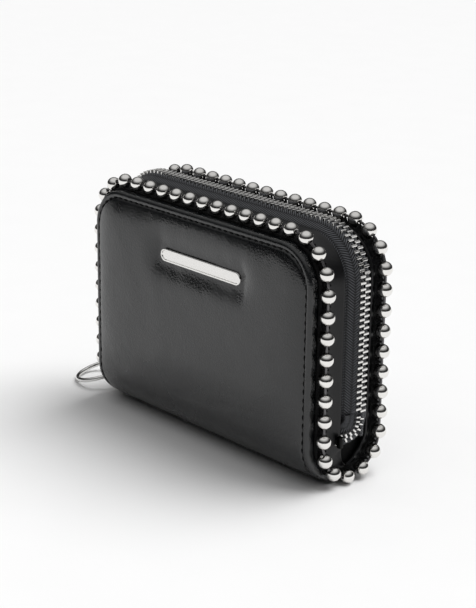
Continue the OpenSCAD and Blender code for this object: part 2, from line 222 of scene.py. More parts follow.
def math2(tree, operation, a, b=None, c=None, clampIt=False):
    n = tree.nodes.new("ShaderNodeMath")
    n.operation = operation
    n.use_clamp = clampIt
    for k, v in enumerate((a, b, c)):
        if v is None:
            continue
        if isinstance(v, (int, float)):
            n.inputs[k].default_value = v
        else:
            tree.links.new(v, n.inputs[k])
    return n.outputs[0]


def mapRange(tree, value, fromLow, fromHigh, toLow, toHigh):
    n = tree.nodes.new("ShaderNodeMapRange")
    tree.links.new(value, n.inputs["Value"])
    ends = (("From Min", fromLow), ("From Max", fromHigh), ("To Min", toLow), ("To Max", toHigh))
    for label, v in ends:
        if isinstance(v, (int, float)):
            n.inputs[label].default_value = v
        else:
            tree.links.new(v, n.inputs[label])
    return n.outputs["Result"]


def makeLeatherGrain():
    g, gin, gout = newGroup(
        "leatherGrain",
        [
            ("Vector", "NodeSocketVector", None),
            ("Pores", "NodeSocketFloat", 1100.0),
            ("Creases", "NodeSocketFloat", 140.0),
        ],
        [("Height", "NodeSocketFloat"), ("Smudge", "NodeSocketFloat")],
    )
    pores = addNode(g, "ShaderNodeTexVoronoi", feature="SMOOTH_F1")
    pores.inputs["Smoothness"].default_value = 0.6
    g.links.new(gin.outputs["Vector"], pores.inputs["Vector"])
    g.links.new(gin.outputs["Pores"], pores.inputs["Scale"])
    creases = addNode(g, "ShaderNodeTexNoise")
    creases.inputs["Detail"].default_value = 4
    creases.inputs["Distortion"].default_value = 0.6
    g.links.new(gin.outputs["Vector"], creases.inputs["Vector"])
    g.links.new(gin.outputs["Creases"], creases.inputs["Scale"])
    cloud = addNode(g, "ShaderNodeTexNoise")
    cloud.inputs["Scale"].default_value = 42
    cloud.inputs["Detail"].default_value = 3
    g.links.new(gin.outputs["Vector"], cloud.inputs["Vector"])
    fine = math2(g, "MULTIPLY", pores.outputs["Distance"], 0.45)
    both = math2(g, "ADD", fine, creases.outputs["Fac"])
    g.links.new(both, gout.inputs["Height"])
    g.links.new(mapRange(g, cloud.outputs["Fac"], 0.3, 0.7, 0.0, 1.0), gout.inputs["Smudge"])
    return g


def makeHerringbone():
    g, gin, gout = newGroup(
        "herringboneWeave",
        [
            ("Vector", "NodeSocketVector", None),
            ("Column", "NodeSocketFloat", 1.1),
            ("Yarn", "NodeSocketFloat", 0.55),
        ],
        [("Height", "NodeSocketFloat"), ("Mask", "NodeSocketFloat")],
    )
    split = addNode(g, "ShaderNodeSeparateXYZ")
    g.links.new(gin.outputs["Vector"], split.inputs[0])
    columns = math2(g, "DIVIDE", split.outputs["Y"], gin.outputs["Column"])
    parity = math2(g, "MODULO", math2(g, "ABSOLUTE", math2(g, "FLOOR", columns)), 2)
    direction = math2(g, "SUBTRACT", math2(g, "MULTIPLY", parity, 2), 1)
    slant = math2(g, "MULTIPLY", math2(g, "MULTIPLY", columns, direction), 2.0)
    along = math2(g, "DIVIDE", split.outputs["X"], gin.outputs["Yarn"])
    phase = math2(g, "ADD", along, slant)
    wave = math2(g, "SINE", math2(g, "MULTIPLY", phase, 2 * math.pi))
    yarn = mapRange(g, wave, -1, 1, 0, 1)
    inColumn = math2(g, "FRACT", math2(g, "ADD", columns, 100))
    edge = math2(g, "SINE", math2(g, "MULTIPLY", inColumn, math.pi))
    height = math2(g, "MULTIPLY", yarn, math2(g, "POWER", edge, 0.4))
    g.links.new(height, gout.inputs["Height"])
    # the height doubles as a colour mask: painted highlight on the raised yarns, painted shade in the
    # hollows between them and along the column edges
    g.links.new(height, gout.inputs["Mask"])
    return g


def makeWear():
    g, gin, gout = newGroup(
        "metalWear",
        [("Vector", "NodeSocketVector", None), ("Scale", "NodeSocketFloat", 300.0)],
        [("Rough", "NodeSocketFloat"), ("Scratch", "NodeSocketFloat")],
    )
    cloud = addNode(g, "ShaderNodeTexNoise")
    cloud.inputs["Detail"].default_value = 4
    g.links.new(gin.outputs["Vector"], cloud.inputs["Vector"])
    g.links.new(gin.outputs["Scale"], cloud.inputs["Scale"])
    fine = addNode(g, "ShaderNodeTexNoise")
    fine.inputs["Detail"].default_value = 2
    g.links.new(gin.outputs["Vector"], fine.inputs["Vector"])
    g.links.new(math2(g, "MULTIPLY", gin.outputs["Scale"], 9), fine.inputs["Scale"])
    g.links.new(cloud.outputs["Fac"], gout.inputs["Rough"])
    g.links.new(fine.outputs["Fac"], gout.inputs["Scratch"])
    return g


leatherGrain = makeLeatherGrain()
herringbone = makeHerringbone()
metalWear = makeWear()


def startMaterial(name, color, metallic=0.0, roughness=0.5, **sockets):
    mat = bpy.data.materials.new(name)
    mat.use_nodes = True
    tree = mat.node_tree
    shader = tree.nodes["Principled BSDF"]
    shader.inputs["Base Color"].default_value = (*color, 1)
    shader.inputs["Metallic"].default_value = metallic
    shader.inputs["Roughness"].default_value = roughness
    for label, value in sockets.items():
        shader.inputs[label.replace("_", " ")].default_value = value
    mat.diffuse_color = (*color, 1)
    return mat, tree, shader


def groupIn(tree, group, coords, **values):
    n = tree.nodes.new("ShaderNodeGroup")
    n.node_tree = group
    tree.links.new(coords, n.inputs["Vector"])
    for label, v in values.items():
        n.inputs[label].default_value = v
    return n


def objectCoords(tree):
    return tree.nodes.new("ShaderNodeTexCoord").outputs["Object"]


def pathCoords(tree):
    n = tree.nodes.new("ShaderNodeUVMap")
    n.uv_map = "path"
    return n.outputs["UV"]


def bumpTo(tree, shader, height, strength, distance):
    n = tree.nodes.new("ShaderNodeBump")
    n.inputs["Strength"].default_value = strength
    n.inputs["Distance"].default_value = distance
    tree.links.new(height, n.inputs["Height"])
    tree.links.new(n.outputs["Normal"], shader.inputs["Normal"])


def mixColor(tree, shader, factor, dark, light):
    n = tree.nodes.new("ShaderNodeMix")
    n.data_type = "RGBA"
    tree.links.new(factor, n.inputs[0])
    n.inputs[6].default_value = (*dark, 1)
    n.inputs[7].default_value = (*light, 1)
    tree.links.new(n.outputs[2], shader.inputs["Base Color"])


def makeLeather(name, dark, light, rough, pores, bump, coat, specular):
    mat, tree, shader = startMaterial(name, dark, Coat_Weight=coat, Coat_Roughness=0.18)
    shader.inputs["Specular IOR Level"].default_value = specular
    grain = groupIn(tree, leatherGrain, objectCoords(tree), Pores=pores)
    mixColor(tree, shader, grain.outputs["Smudge"], dark, light)
    roughness = mapRange(tree, grain.outputs["Smudge"], 0, 1, *rough)
    tree.links.new(roughness, shader.inputs["Roughness"])
    bumpTo(tree, shader, grain.outputs["Height"], bump, 0.00025)
    return mat


coverLeather = makeLeather(
    "coverLeather", dark=(0.0018, 0.0024, 0.003), light=(0.0036, 0.0044, 0.0052),
    rough=(0.20, 0.34), pores=1500, bump=0.5, coat=0.16, specular=0.60,
)
bandLeather = makeLeather(
    "bandLeather", dark=(0.003, 0.003, 0.0035), light=(0.005, 0.005, 0.0055),
    rough=(0.26, 0.40), pores=1300, bump=0.28, coat=0.0, specular=0.34,
)
gussetLeather = makeLeather(
    "gussetLeather", dark=(0.0012, 0.0012, 0.0014), light=(0.0025, 0.0025, 0.003),
    rough=(0.5, 0.65), pores=1300, bump=0.35, coat=0.0, specular=0.12,
)
pocketLeather = makeLeather(
    "pocketLeather", dark=(0.008, 0.008, 0.009), light=(0.016, 0.016, 0.017),
    rough=(0.42, 0.55), pores=1100, bump=0.35, coat=0.0, specular=0.45,
)


def makeTape():
    mat, tree, shader = startMaterial("zipTape", (0.012, 0.012, 0.013), roughness=0.85, Sheen_Weight=0.1)
    weave = groupIn(tree, herringbone, pathCoords(tree), Column=1.7, Yarn=0.95)
    # painted shade in the weave hollows (near black) and painted highlight on the yarn crests (grey) of a
    # black tape
    mixColor(tree, shader, weave.outputs["Mask"], (0.001, 0.001, 0.0015), (0.12, 0.124, 0.135))
    bumpTo(tree, shader, weave.outputs["Height"], 0.7, 0.0002)
    return mat


def makeCloth(name, dark, light, column, yarn):
    mat, tree, shader = startMaterial(name, dark, roughness=0.9, Sheen_Weight=0.05)
    shader.inputs["Specular IOR Level"].default_value = 0.2
    weave = groupIn(tree, herringbone, pathCoords(tree), Column=column, Yarn=yarn)
    # painted highlight on the raised yarns and painted shade between them, taken from the weave height
    mixColor(tree, shader, weave.outputs["Mask"], dark, light)
    bumpTo(tree, shader, weave.outputs["Height"], 0.5, 0.00012)
    return mat


zipTape = makeTape()
liningCloth = makeCloth("liningCloth", (0.006, 0.006, 0.007), (0.028, 0.028, 0.031), 0.45, 0.4)
bindingCloth = makeCloth("bindingCloth", (0.0015, 0.0015, 0.0015), (0.008, 0.008, 0.009), 0.6, 0.9)


def makeMetal(name, color, roughLow, roughHigh, scale, bump):
    mat, tree, shader = startMaterial(name, color, metallic=1.0)
    wear = groupIn(tree, metalWear, objectCoords(tree), Scale=scale)
    dim = tuple(c * 0.86 for c in color)
    mixColor(tree, shader, wear.outputs["Rough"], dim, color)
    roughness = mapRange(tree, wear.outputs["Rough"], 0.3, 0.7, roughLow, roughHigh)
    tree.links.new(roughness, shader.inputs["Roughness"])
    bumpTo(tree, shader, wear.outputs["Scratch"], bump, 0.00004)
    return mat


blackEnamel = makeMetal("blackEnamel", (0.012, 0.012, 0.012), 0.4, 0.6, 400, 0.1)
linkSteel = makeMetal("linkSteel", (0.16, 0.155, 0.16), 0.35, 0.5, 400, 0.1)
chainNickel = makeMetal("chainNickel", (0.90, 0.885, 0.86), 0.05, 0.14, 260, 0.05)
teethNickel = makeMetal("teethNickel", (0.86, 0.85, 0.83), 0.14, 0.30, 500, 0.12)
hardwareNickel = makeMetal("hardwareNickel", (0.84, 0.83, 0.81), 0.10, 0.24, 300, 0.10)
ringSteel = makeMetal("ringSteel", (0.88, 0.875, 0.86), 0.07, 0.18, 300, 0.06)
badgeMetal = makeMetal("badgeMetal", (0.86, 0.85, 0.83), 0.16, 0.30, 420, 0.15)


def makeThread():
    mat, tree, shader = startMaterial("blackThread", (0.006, 0.006, 0.007), roughness=0.6)
    twist = tree.nodes.new("ShaderNodeTexNoise")
    tree.links.new(objectCoords(tree), twist.inputs["Vector"])
    twist.inputs["Scale"].default_value = 3500
    shader.inputs["Specular IOR Level"].default_value = 0.12
    mixColor(tree, shader, twist.outputs["Fac"], (0.001, 0.001, 0.001), (0.005, 0.005, 0.005))
    bumpTo(tree, shader, twist.outputs["Fac"], 0.4, 0.0001)
    return mat


def makeBoard(name, dark, light, scale):
    mat, tree, shader = startMaterial(name, dark, roughness=0.9)
    fibre = tree.nodes.new("ShaderNodeTexNoise")
    fibre.inputs["Scale"].default_value = scale
    fibre.inputs["Detail"].default_value = 6
    tree.links.new(objectCoords(tree), fibre.inputs["Vector"])
    mixColor(tree, shader, fibre.outputs["Fac"], dark, light)
    bumpTo(tree, shader, fibre.outputs["Fac"], 0.4, 0.0002)
    return mat


blackThread = makeThread()
greyBoard = makeBoard("greyBoard", (0.16, 0.14, 0.12), (0.28, 0.26, 0.22), 900)
print("materials ready")


# rows of repeated shapes

def makeRowTree():
    tree = bpy.data.node_groups.new("rowAlongPath", "GeometryNodeTree")
    tree.is_modifier = True
    for label, kind, value in (
        ("Geometry", "NodeSocketGeometry", None),
        ("Shape", "NodeSocketObject", None),
        ("Count", "NodeSocketInt", 2),
        ("Scale Jitter", "NodeSocketFloat", 0.0),
        ("Turn Jitter", "NodeSocketFloat", 0.0),
        ("Seed", "NodeSocketInt", 0),
        ("Finish", "NodeSocketMaterial", None),
    ):
        s = tree.interface.new_socket(label, in_out="INPUT", socket_type=kind)
        if value is not None:
            s.default_value = value
    tree.interface.new_socket("Geometry", in_out="OUTPUT", socket_type="NodeSocketGeometry")
    link = tree.links.new
    gin, gout = tree.nodes.new("NodeGroupInput"), tree.nodes.new("NodeGroupOutput")
    toCurve = tree.nodes.new("GeometryNodeMeshToCurve")
    link(gin.outputs["Geometry"], toCurve.inputs["Mesh"])
    spaced = tree.nodes.new("GeometryNodeResampleCurve")
    spaced.mode = "COUNT"
    link(toCurve.outputs["Curve"], spaced.inputs["Curve"])
    link(gin.outputs["Count"], spaced.inputs["Count"])
    shape = tree.nodes.new("GeometryNodeObjectInfo")
    link(gin.outputs["Shape"], shape.inputs["Object"])
    tangent = tree.nodes.new("GeometryNodeInputTangent")
    out = tree.nodes.new("GeometryNodeInputNamedAttribute")
    out.data_type = "FLOAT_VECTOR"
    out.inputs["Name"].default_value = "out"
    alongAxis = tree.nodes.new("FunctionNodeAlignRotationToVector")
    alongAxis.axis = "Z"
    link(tangent.outputs["Tangent"], alongAxis.inputs["Vector"])
    outAxis = tree.nodes.new("FunctionNodeAlignRotationToVector")
    outAxis.axis = "X"
    outAxis.pivot_axis = "Z"
    link(alongAxis.outputs["Rotation"], outAxis.inputs["Rotation"])
    link(out.outputs["Attribute"], outAxis.inputs["Vector"])
    low = tree.nodes.new("ShaderNodeMath")
    low.operation = "MULTIPLY"
    low.inputs[1].default_value = -1
    link(gin.outputs["Turn Jitter"], low.inputs[0])
    wobble = tree.nodes.new("FunctionNodeRandomValue")
    wobble.data_type = "FLOAT_VECTOR"
    link(low.outputs[0], wobble.inputs["Min"])
    link(gin.outputs["Turn Jitter"], wobble.inputs["Max"])
    link(gin.outputs["Seed"], wobble.inputs["Seed"])
    toTurn = tree.nodes.new("FunctionNodeEulerToRotation")
    link(wobble.outputs["Value"], toTurn.inputs["Euler"])
    turned = tree.nodes.new("FunctionNodeRotateRotation")
    turned.rotation_space = "LOCAL"
    link(outAxis.outputs["Rotation"], turned.inputs["Rotation"])
    link(toTurn.outputs["Rotation"], turned.inputs["Rotate By"])
    least = tree.nodes.new("ShaderNodeMath")
    least.operation = "SUBTRACT"
    least.inputs[0].default_value = 1
    link(gin.outputs["Scale Jitter"], least.inputs[1])
    most = tree.nodes.new("ShaderNodeMath")
    most.operation = "ADD"
    most.inputs[0].default_value = 1
    link(gin.outputs["Scale Jitter"], most.inputs[1])
    size = tree.nodes.new("FunctionNodeRandomValue")
    size.data_type = "FLOAT"
    floats = [s for s in size.inputs if s.type == "VALUE"]
    link(least.outputs[0], floats[0])
    link(most.outputs[0], floats[1])
    link(gin.outputs["Seed"], size.inputs["Seed"])
    rows = tree.nodes.new("GeometryNodeInstanceOnPoints")
    link(spaced.outputs["Curve"], rows.inputs["Points"])
    link(shape.outputs["Geometry"], rows.inputs["Instance"])
    link(turned.outputs["Rotation"], rows.inputs["Rotation"])
    link([s for s in size.outputs if s.type == "VALUE"][0], rows.inputs["Scale"])
    real = tree.nodes.new("GeometryNodeRealizeInstances")
    link(rows.outputs["Instances"], real.inputs["Geometry"])
    finish = tree.nodes.new("GeometryNodeSetMaterial")
    link(real.outputs["Geometry"], finish.inputs["Geometry"])
    link(gin.outputs["Finish"], finish.inputs["Material"])
    link(finish.outputs["Geometry"], gout.inputs["Geometry"])
    return tree


rowTree = makeRowTree()
rowSocket = {s.name: s.identifier for s in rowTree.interface.items_tree if s.in_out == "INPUT"}


def rowPiece(name, runs, shape, finish, body, replaces=(), jitter=0.0, turnJitter=0.0, seed=1):
    parts = []
    for k, (points, outs, count) in enumerate(runs):
        mesh = bpy.data.meshes.new(name + "Path")
        edges = [(i, i + 1) for i in range(len(points) - 1)]
        mesh.from_pydata([[c * mm for c in p] for p in points], edges, [])
        outward = mesh.attributes.new("out", "FLOAT_VECTOR", "POINT")
        outward.data.foreach_set("vector", [c for o in outs for c in o])
        carrier = bpy.data.objects.new(name + "Path", mesh)
        bpy.context.scene.collection.objects.link(carrier)
        mod = carrier.modifiers.new("row", "NODES")
        mod.node_group = rowTree
        mod[rowSocket["Shape"]] = shape
        mod[rowSocket["Count"]] = count
        mod[rowSocket["Scale Jitter"]] = jitter
        mod[rowSocket["Turn Jitter"]] = turnJitter
        mod[rowSocket["Seed"]] = seed + k
        mod[rowSocket["Finish"]] = finish
        bpy.context.view_layer.update()
        graph = bpy.context.evaluated_depsgraph_get()
        live = carrier.evaluated_get(graph)
        made = bpy.data.meshes.new_from_object(live, preserve_all_data_layers=True, depsgraph=graph)
        parts.append(made)
        bpy.data.objects.remove(carrier)
        bpy.data.meshes.remove(mesh)
    joined = bmesh.new()
    for part in parts:
        joined.from_mesh(part)
    mesh = bpy.data.meshes.new(name)
    joined.to_mesh(mesh)
    joined.free()
    for part in parts:
        bpy.data.meshes.remove(part)
    mesh.materials.append(finish)
    obj = bpy.data.objects.new(name, mesh)
    bpy.context.scene.collection.objects.link(obj)
    if replaces:
        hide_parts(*replaces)
    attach(obj, body)
    return obj


def shapeObject(name, build, smoothShade=True):
    b = bmesh.new()
    build(b)
    bmesh.ops.recalc_face_normals(b, faces=b.faces)
    mesh = bpy.data.meshes.new(name)
    b.to_mesh(mesh)
    b.free()
    for p in mesh.polygons:
        p.use_smooth = smoothShade
    return bpy.data.objects.new(name, mesh)


# routes

def archPoint(s):
    if s < columnL:
        return -halfWidth, axisZ + s, -1.0, 0.0
    s -= columnL
    if s < bendL:
        away, up = math.cos(s / cornerR), math.sin(s / cornerR)
        return -halfWidth + cornerR * (1 - away), cornerZ + cornerR * up, -away, up
    s -= bendL
    if s < topL:
        return -halfWidth + cornerR + s, chainTop, 0.0, 1.0
    s -= topL
    if s < bendL:
        away, up = math.sin(s / cornerR), math.cos(s / cornerR)
        return halfWidth - cornerR * (1 - away), cornerZ + cornerR * up, away, up
    s -= bendL
    return halfWidth, cornerZ - s, 1.0, 0.0


def edgeFrame(s, side=-1):
    if s < 0 or s > archL:
        right = s > archL
        a = ((s - archL) if right else -s) / halfDepth
        x = halfWidth if right else -halfWidth
        centre = (x, side * halfDepth * math.cos(a), axisZ - halfDepth * math.sin(a))
        return centre, (1.0 if right else -1.0, 0.0, 0.0), (0.0, -side * math.cos(a), math.sin(a))
    x, z, nx, nz = archPoint(s)
    return (x, side * halfDepth, z), (nx, 0.0, nz), (0.0, -side, 0.0)


def onEdge(s, u, w, side=-1):
    c, o, i = edgeFrame(s, side)
    return tuple(c[k] + o[k] * u + i[k] * w for k in range(3))


def loopPoint(s):
    if s < archL:
        return onEdge(s, 0, 0, -1), edgeFrame(s, -1)[1]
    if s < archL + uL:
        a = (s - archL) / halfDepth
        return (halfWidth, -halfDepth * math.cos(a), axisZ - halfDepth * math.sin(a)), (1.0, 0.0, 0.0)
    if s < 2 * archL + uL:
        t = 2 * archL + uL - s
        return onEdge(t, 0, 0, 1), edgeFrame(t, 1)[1]
    a = (s - 2 * archL - uL) / halfDepth
    return (-halfWidth, halfDepth * math.cos(a), axisZ - halfDepth * math.sin(a)), (-1.0, 0.0, 0.0)


def archSteps(start, end, straight=2.0, bend=1.1):
    steps, s = [], start
    while s < end - 0.3:
        steps.append(s)
        onColumn = 0 <= s < columnL - 0.5 or archL - columnL + 0.5 < s <= archL
        onTop = columnL + bendL < s < columnL + bendL + topL - 0.5
        s += straight if onColumn or onTop else bend
    steps.append(end)
    return steps


# the ball chain
chain = {
    "ball": 5.0, "segments": 24, "rings": 14, "hole": 0.55, "lip": 0.12,
    "wire": 0.9, "wireLength": 2.9, "wireSegments": 10,
}


def turnedShape(b, profile, segments):
    # each row of the profile is a radius, a height along Z and a shift along X
    loops = []
    for radius, height, shift in profile:
        loop = []
        for k in range(segments):
            a = 2 * math.pi * k / segments
            loop.append(b.verts.new((shift + radius * math.cos(a), radius * math.sin(a), height)))
        loops.append(loop)
    for low, high in zip(loops, loops[1:]):
        for k in range(segments):
            k2 = (k + 1) % segments
            b.faces.new((low[k], low[k2], high[k2], high[k]))
    b.faces.new(loops[0][::-1])
    b.faces.new(loops[-1])


def buildBall(b):
    r, hole, lip = chain["ball"] / 2, chain["hole"], chain["lip"]
    start = math.asin(hole / r)
    angles = [start + (math.pi - 2 * start) * k / chain["rings"] for k in range(chain["rings"] + 1)]
    rim = r * math.cos(start)
    profile = [(hole * 0.9, rim - 3 * lip), (hole, rim - lip)]
    profile += [(r * math.sin(a), r * math.cos(a)) for a in angles]
    profile += [(hole, lip - rim), (hole * 0.9, 3 * lip - rim)]
    turnedShape(b, [(radius * mm, height * mm, 0) for radius, height in profile], chain["segments"])


def buildWire(b):
    half, r = chain["wireLength"] / 2 * mm, chain["wire"] / 2 * mm
    swell = ((-1, 0.8), (-0.6, 0.9), (0, 1.0), (0.6, 0.9), (1, 0.8))
    turnedShape(b, [(r * thick, half * h, 0) for h, thick in swell], chain["wireSegments"])


ballShape = shapeObject("ballShape", buildBall)
wireShape = shapeObject("wireShape", buildWire)


def loopRun(first, last):
    count = round((last - first) / ballPitch) + 1
    steps = max(2, int((last - first) / 0.35))
    pts, outs = [], []
    for k in range(steps + 1):
        p, o = loopPoint(first + (last - first) * k / steps)
        pts.append(p)
        outs.append(o)
    return pts, outs, count


balls = [wallet["ballPhase"] + k * ballPitch for k in range(wallet["ballCount"])]
wires = [b + ballPitch / 2 for b in balls]
frontBalls = [s for s in balls if s < archL]
rootBalls = [s for s in balls if s >= archL]
frontWires = [s for s in wires if s < archL]
rootWires = [s for s in wires if archL <= s < loopL]
rowPiece(
    "chain_balls_front", [loopRun(frontBalls[0], frontBalls[-1])], ballShape, chainNickel,
    "front_half", ["front_chain_balls"], turnJitter=0.02,
)
rowPiece(
    "chain_balls_back", [loopRun(rootBalls[0], rootBalls[-1])], ballShape, chainNickel,
    "back_half", ["back_chain_balls", "spine_chain_balls"], turnJitter=0.02,
)
rowPiece(
    "chain_wires_front", [loopRun(frontWires[0], frontWires[-1])], wireShape, linkSteel,
    "front_half", ["front_chain_links"],
)
rowPiece(
    "chain_wires_back", [loopRun(rootWires[0], rootWires[-1])], wireShape, linkSteel,
    "back_half", ["back_chain_links", "spine_chain_links"],
)
print("chain done", len(frontBalls), len(rootBalls))

# padded leather wrap: front cover, spine and back cover in one skin
skin = {
    "columns": 96,
    "rows": 196,
    "inner": 6.0,           # width of the border mesh
    "roll": 1.6,            # swelling just inside the seam
    "rollRun": 4.2,
    "pillow": 0.5,          # slower swelling towards the middle
    "pillowRun": 11.0,
    "stitch": 2.2,          # seam to edge
    "groove": 0.42,
    "beadR": 1.35,
    "wall": 3.5,
    "inside": 3.1,
    "corner": 14.0,
}
spineSteps = 240
spineTable = []
spineRadZ = axisZ + 0.25
length = 0.0
previous = None
for k in range(spineSteps + 1):
    a = math.pi * k / spineSteps
    p = (-faceY * math.cos(a), max(0.0, axisZ - spineRadZ * math.sin(a)))
    if previous:
        length += math.dist(p, previous)
    previous = p
    n = (-math.cos(a) / faceY, -math.sin(a) / spineRadZ)
    m = math.hypot(*n)
    spineTable.append((length, p[0], p[1], n[0] / m, n[1] / m))
spineL = length
faceTop = chainTop - wallet["rimInset"] - axisZ
halfT = faceTop + spineL / 2      # half length of the whole strip


def stripPoint(t):
    if t >= spineL / 2:
        return -faceY, axisZ + t - spineL / 2, -1.0, 0.0
    if t <= -spineL / 2:
        return faceY, axisZ - t - spineL / 2, 1.0, 0.0
    want = spineL / 2 - t
    k = min(spineSteps - 1, int(want / spineL * spineSteps))
    while k > 0 and spineTable[k][0] > want:
        k -= 1
    while k < spineSteps - 1 and spineTable[k + 1][0] < want:
        k += 1
    a, b = spineTable[k], spineTable[k + 1]
    f = clamp((want - a[0]) / max(1e-6, b[0] - a[0]))
    return tuple(a[i] + (b[i] - a[i]) * f for i in (1, 2, 3, 4))


def edgeDistance(x, t):
    qx = abs(x) - (halfWidth - wallet["rimInset"] - skin["corner"])
    qt = abs(t) - (halfT - skin["corner"])
    outside = math.hypot(max(qx, 0), max(qt, 0)) + min(max(qx, qt), 0)
    return skin["corner"] - outside


badge = {
    "x": 3.2, "z": 65.2, "l": 40.5, "h": 4.6,
    "dent": 1.5, "dentRun": 5.2, "pucker": 0.09, "crease": 0.32,
}


def badgeDent(x, z):
    reach = badge["l"] / 2 - badge["h"] / 2
    dx = x - badge["x"]
    dz = z - badge["z"]
    away = math.hypot(max(0, abs(dx) - reach), dz)
    far = max(0.0, away - badge["h"] / 2)
    dent = -badge["dent"] * math.exp(-(far / badge["dentRun"]) ** 2)
    for side in (-1, 1):
        px = dx - side * (badge["l"] / 2 - 6)
        angle = math.atan2(dz, px)
        reachOut = math.hypot(px, dz)
        fan = math.sin(angle * 5 + 1.3 * side) * smooth(reachOut, 2, 5)
        dent += badge["pucker"] * fan * math.exp(-reachOut / 9)
    for side, slant in ((-1, 0.12), (1, -0.1)):
        px = dx - side * (badge["l"] / 2 + 1.2) - slant * dz
        dent -= badge["crease"] * math.exp(-(px / 0.9) ** 2) * math.exp(-(dz / 6.0) ** 2)
    return dent


def skinHeight(x, t, d):
    if d < skin["stitch"]:
        return 0.0
    z = stripPoint(t)[1]
    faceShare = smooth(abs(t), spineL / 2 - 6, spineL / 2 + 16)
    bottomShare = smooth(abs(t), 6, spineL / 2 - 4)
    inward = d - skin["stitch"]
    rollShare = 0.15 + 0.2 * bottomShare + 0.65 * faceShare
    h = skin["roll"] * (1 - math.exp(-inward / skin["rollRun"])) * rollShare
    h += skin["pillow"] * (1 - math.exp(-inward / skin["pillowRun"])) * faceShare
    depth = 0.35 + 0.65 * bottomShare
    h -= skin["groove"] * depth * math.exp(-(inward / 0.45) ** 2)
    inside = smooth(d, 2.4, 9)
    side = 1.0 if t > 0 else 2.0
    h += 0.30 * inside * ripple(x, t, 7 * side, 26) * (0.3 + 0.7 * faceShare)
    h += 0.10 * inside * ripple(x, t, 3 * side, 9)
    h += 0.02 * ripple(x, t, 5, 2.6)
    # the seam draws the leather in small folds beside it
    h += 0.13 * math.exp(-inward / 2.4) * ripple(x, t, 11 * side, 3.2)
    # creases across the bend from cover to spine
    bend = math.exp(-((abs(t) - spineL / 2 - 1.0) / 5.0) ** 2)
    h += 0.10 * bend * ripple(x * 0.22, t, side, 1.9)
    if t > spineL / 2:
        h += badgeDent(x, z)
    return h


def skinPoint(x, t, h):
    y, z, ny, nz = stripPoint(t)
    return (x, y + ny * h, max(0.0, z + nz * h))


def wallDepth(t):
    y, z, ny, nz = stripPoint(t)
    if abs(t) >= spineL / 2:
        return faceY - halfDepth - wallet["bedFront"] - 0.05
    return math.hypot(y, z - axisZ) - halfDepth - wallet["bedFront"] - 0.05


def buildSkin():
    nx, nt = skin["columns"], skin["rows"]
    inner = skin["inner"]
    hx = halfWidth - wallet["rimInset"] - inner
    ht = halfT - inner
    cr = skin["corner"] - inner

    def spot(i, j):
        x = (2 * i / nx - 1) * hx
        t = (2 * j / nt - 1) * ht
        p, q = (abs(x) - (hx - cr)) / cr, (abs(t) - (ht - cr)) / cr
        dirX, dirT = 0.0, 0.0
        if p > 0 and q > 0:
            px, qt = p * math.sqrt(1 - q * q / 2), q * math.sqrt(1 - p * p / 2)
            x = math.copysign(hx - cr + px * cr, x)
            t = math.copysign(ht - cr + qt * cr, t)
            m = math.hypot(px, qt)
            dirX, dirT = math.copysign(px / m, x), math.copysign(qt / m, t)
        elif i in (0, nx):
            dirX = math.copysign(1, x)
        else:
            dirT = math.copysign(1, t)
        return x, t, dirX, dirT

    verts = []

    def add(p):
        verts.append(p)
        return len(verts) - 1

    grid = [[None] * (nt + 1) for _ in range(nx + 1)]
    under = [[None] * (nt + 1) for _ in range(nx + 1)]
    for i in range(nx + 1):
        for j in range(nt + 1):
            x, t, _, _ = spot(i, j)
            grid[i][j] = add(skinPoint(x, t, skinHeight(x, t, edgeDistance(x, t))))
            under[i][j] = add(skinPoint(x, t, -skin["inside"]))
    faces, faceRow = [], []
    for i in range(nx):
        for j in range(nt):
            faces.append((grid[i][j], grid[i + 1][j], grid[i + 1][j + 1], grid[i][j + 1]))
            faceRow.append(j)
            faces.append((under[i][j], under[i][j + 1], under[i + 1][j + 1], under[i + 1][j]))
            faceRow.append(j)
    border = [(i, 0) for i in range(nx)] + [(nx, j) for j in range(nt)]
    border += [(i, nt) for i in range(nx, 0, -1)] + [(0, j) for j in range(nt, 0, -1)]
    faceSteps = [5.2, 4.5, 3.9, 3.4, 3.0, 2.75, 2.55, 2.4, 2.28]
    loops = [[grid[i][j] for i, j in border]]
    lastLoop = [under[i][j] for i, j in border]
    profile = [(d, None) for d in faceSteps]
    r = skin["beadR"]
    for k in range(13):
        a = math.radians(134 - 134 * k / 12)
        profile.append((r - r * math.cos(a), -r + r * math.sin(a)))
    profile += [(0.0, -2.2), (0.0, -3.0), (0.02, -3.4), (0.25, -3.55), (1.2, -3.55), (3.0, -3.3)]
    for d, h in profile:
        loop = []
        for i, j in border:
            x, t, dirX, dirT = spot(i, j)
            out = inner - d
            px, pt = x + dirX * out, t + dirT * out
            if h is None:
                height = skinHeight(px, pt, d)
            else:
                share = min(1.0, wallDepth(pt) / skin["wall"])
                height = h * share + 0.05 * ripple(px, pt, 4, 3.0) * smooth(h, -2.0, -0.2)
            loop.append(add(skinPoint(px, pt, height)))
        loops.append(loop)
    loops.append(lastLoop)
    count = len(border)
    for a, b in zip(loops, loops[1:]):
        for k in range(count):
            k2 = (k + 1) % count
            faces.append((a[k], a[k2], b[k2], b[k]))
            j, j2 = border[k][1], border[k2][1]
            faceRow.append(min(j, j2) if j != j2 else (j if j < nt else nt - 1))
    return verts, faces, faceRow, ht, nt


skinVerts, skinFaces, skinFaceRow, stripHalf, stripRows = buildSkin()
# the strip is cut into two pieces below the fold, so that each follows its own half
cutT = spineL / 2 - 3.6
cutRow = round((cutT / stripHalf + 1) / 2 * stripRows)
whole = makeObject("wholeSkin", skinVerts, skinFaces)
whole.data.update()
skinNormals = [tuple(v.normal) for v in whole.data.vertices]


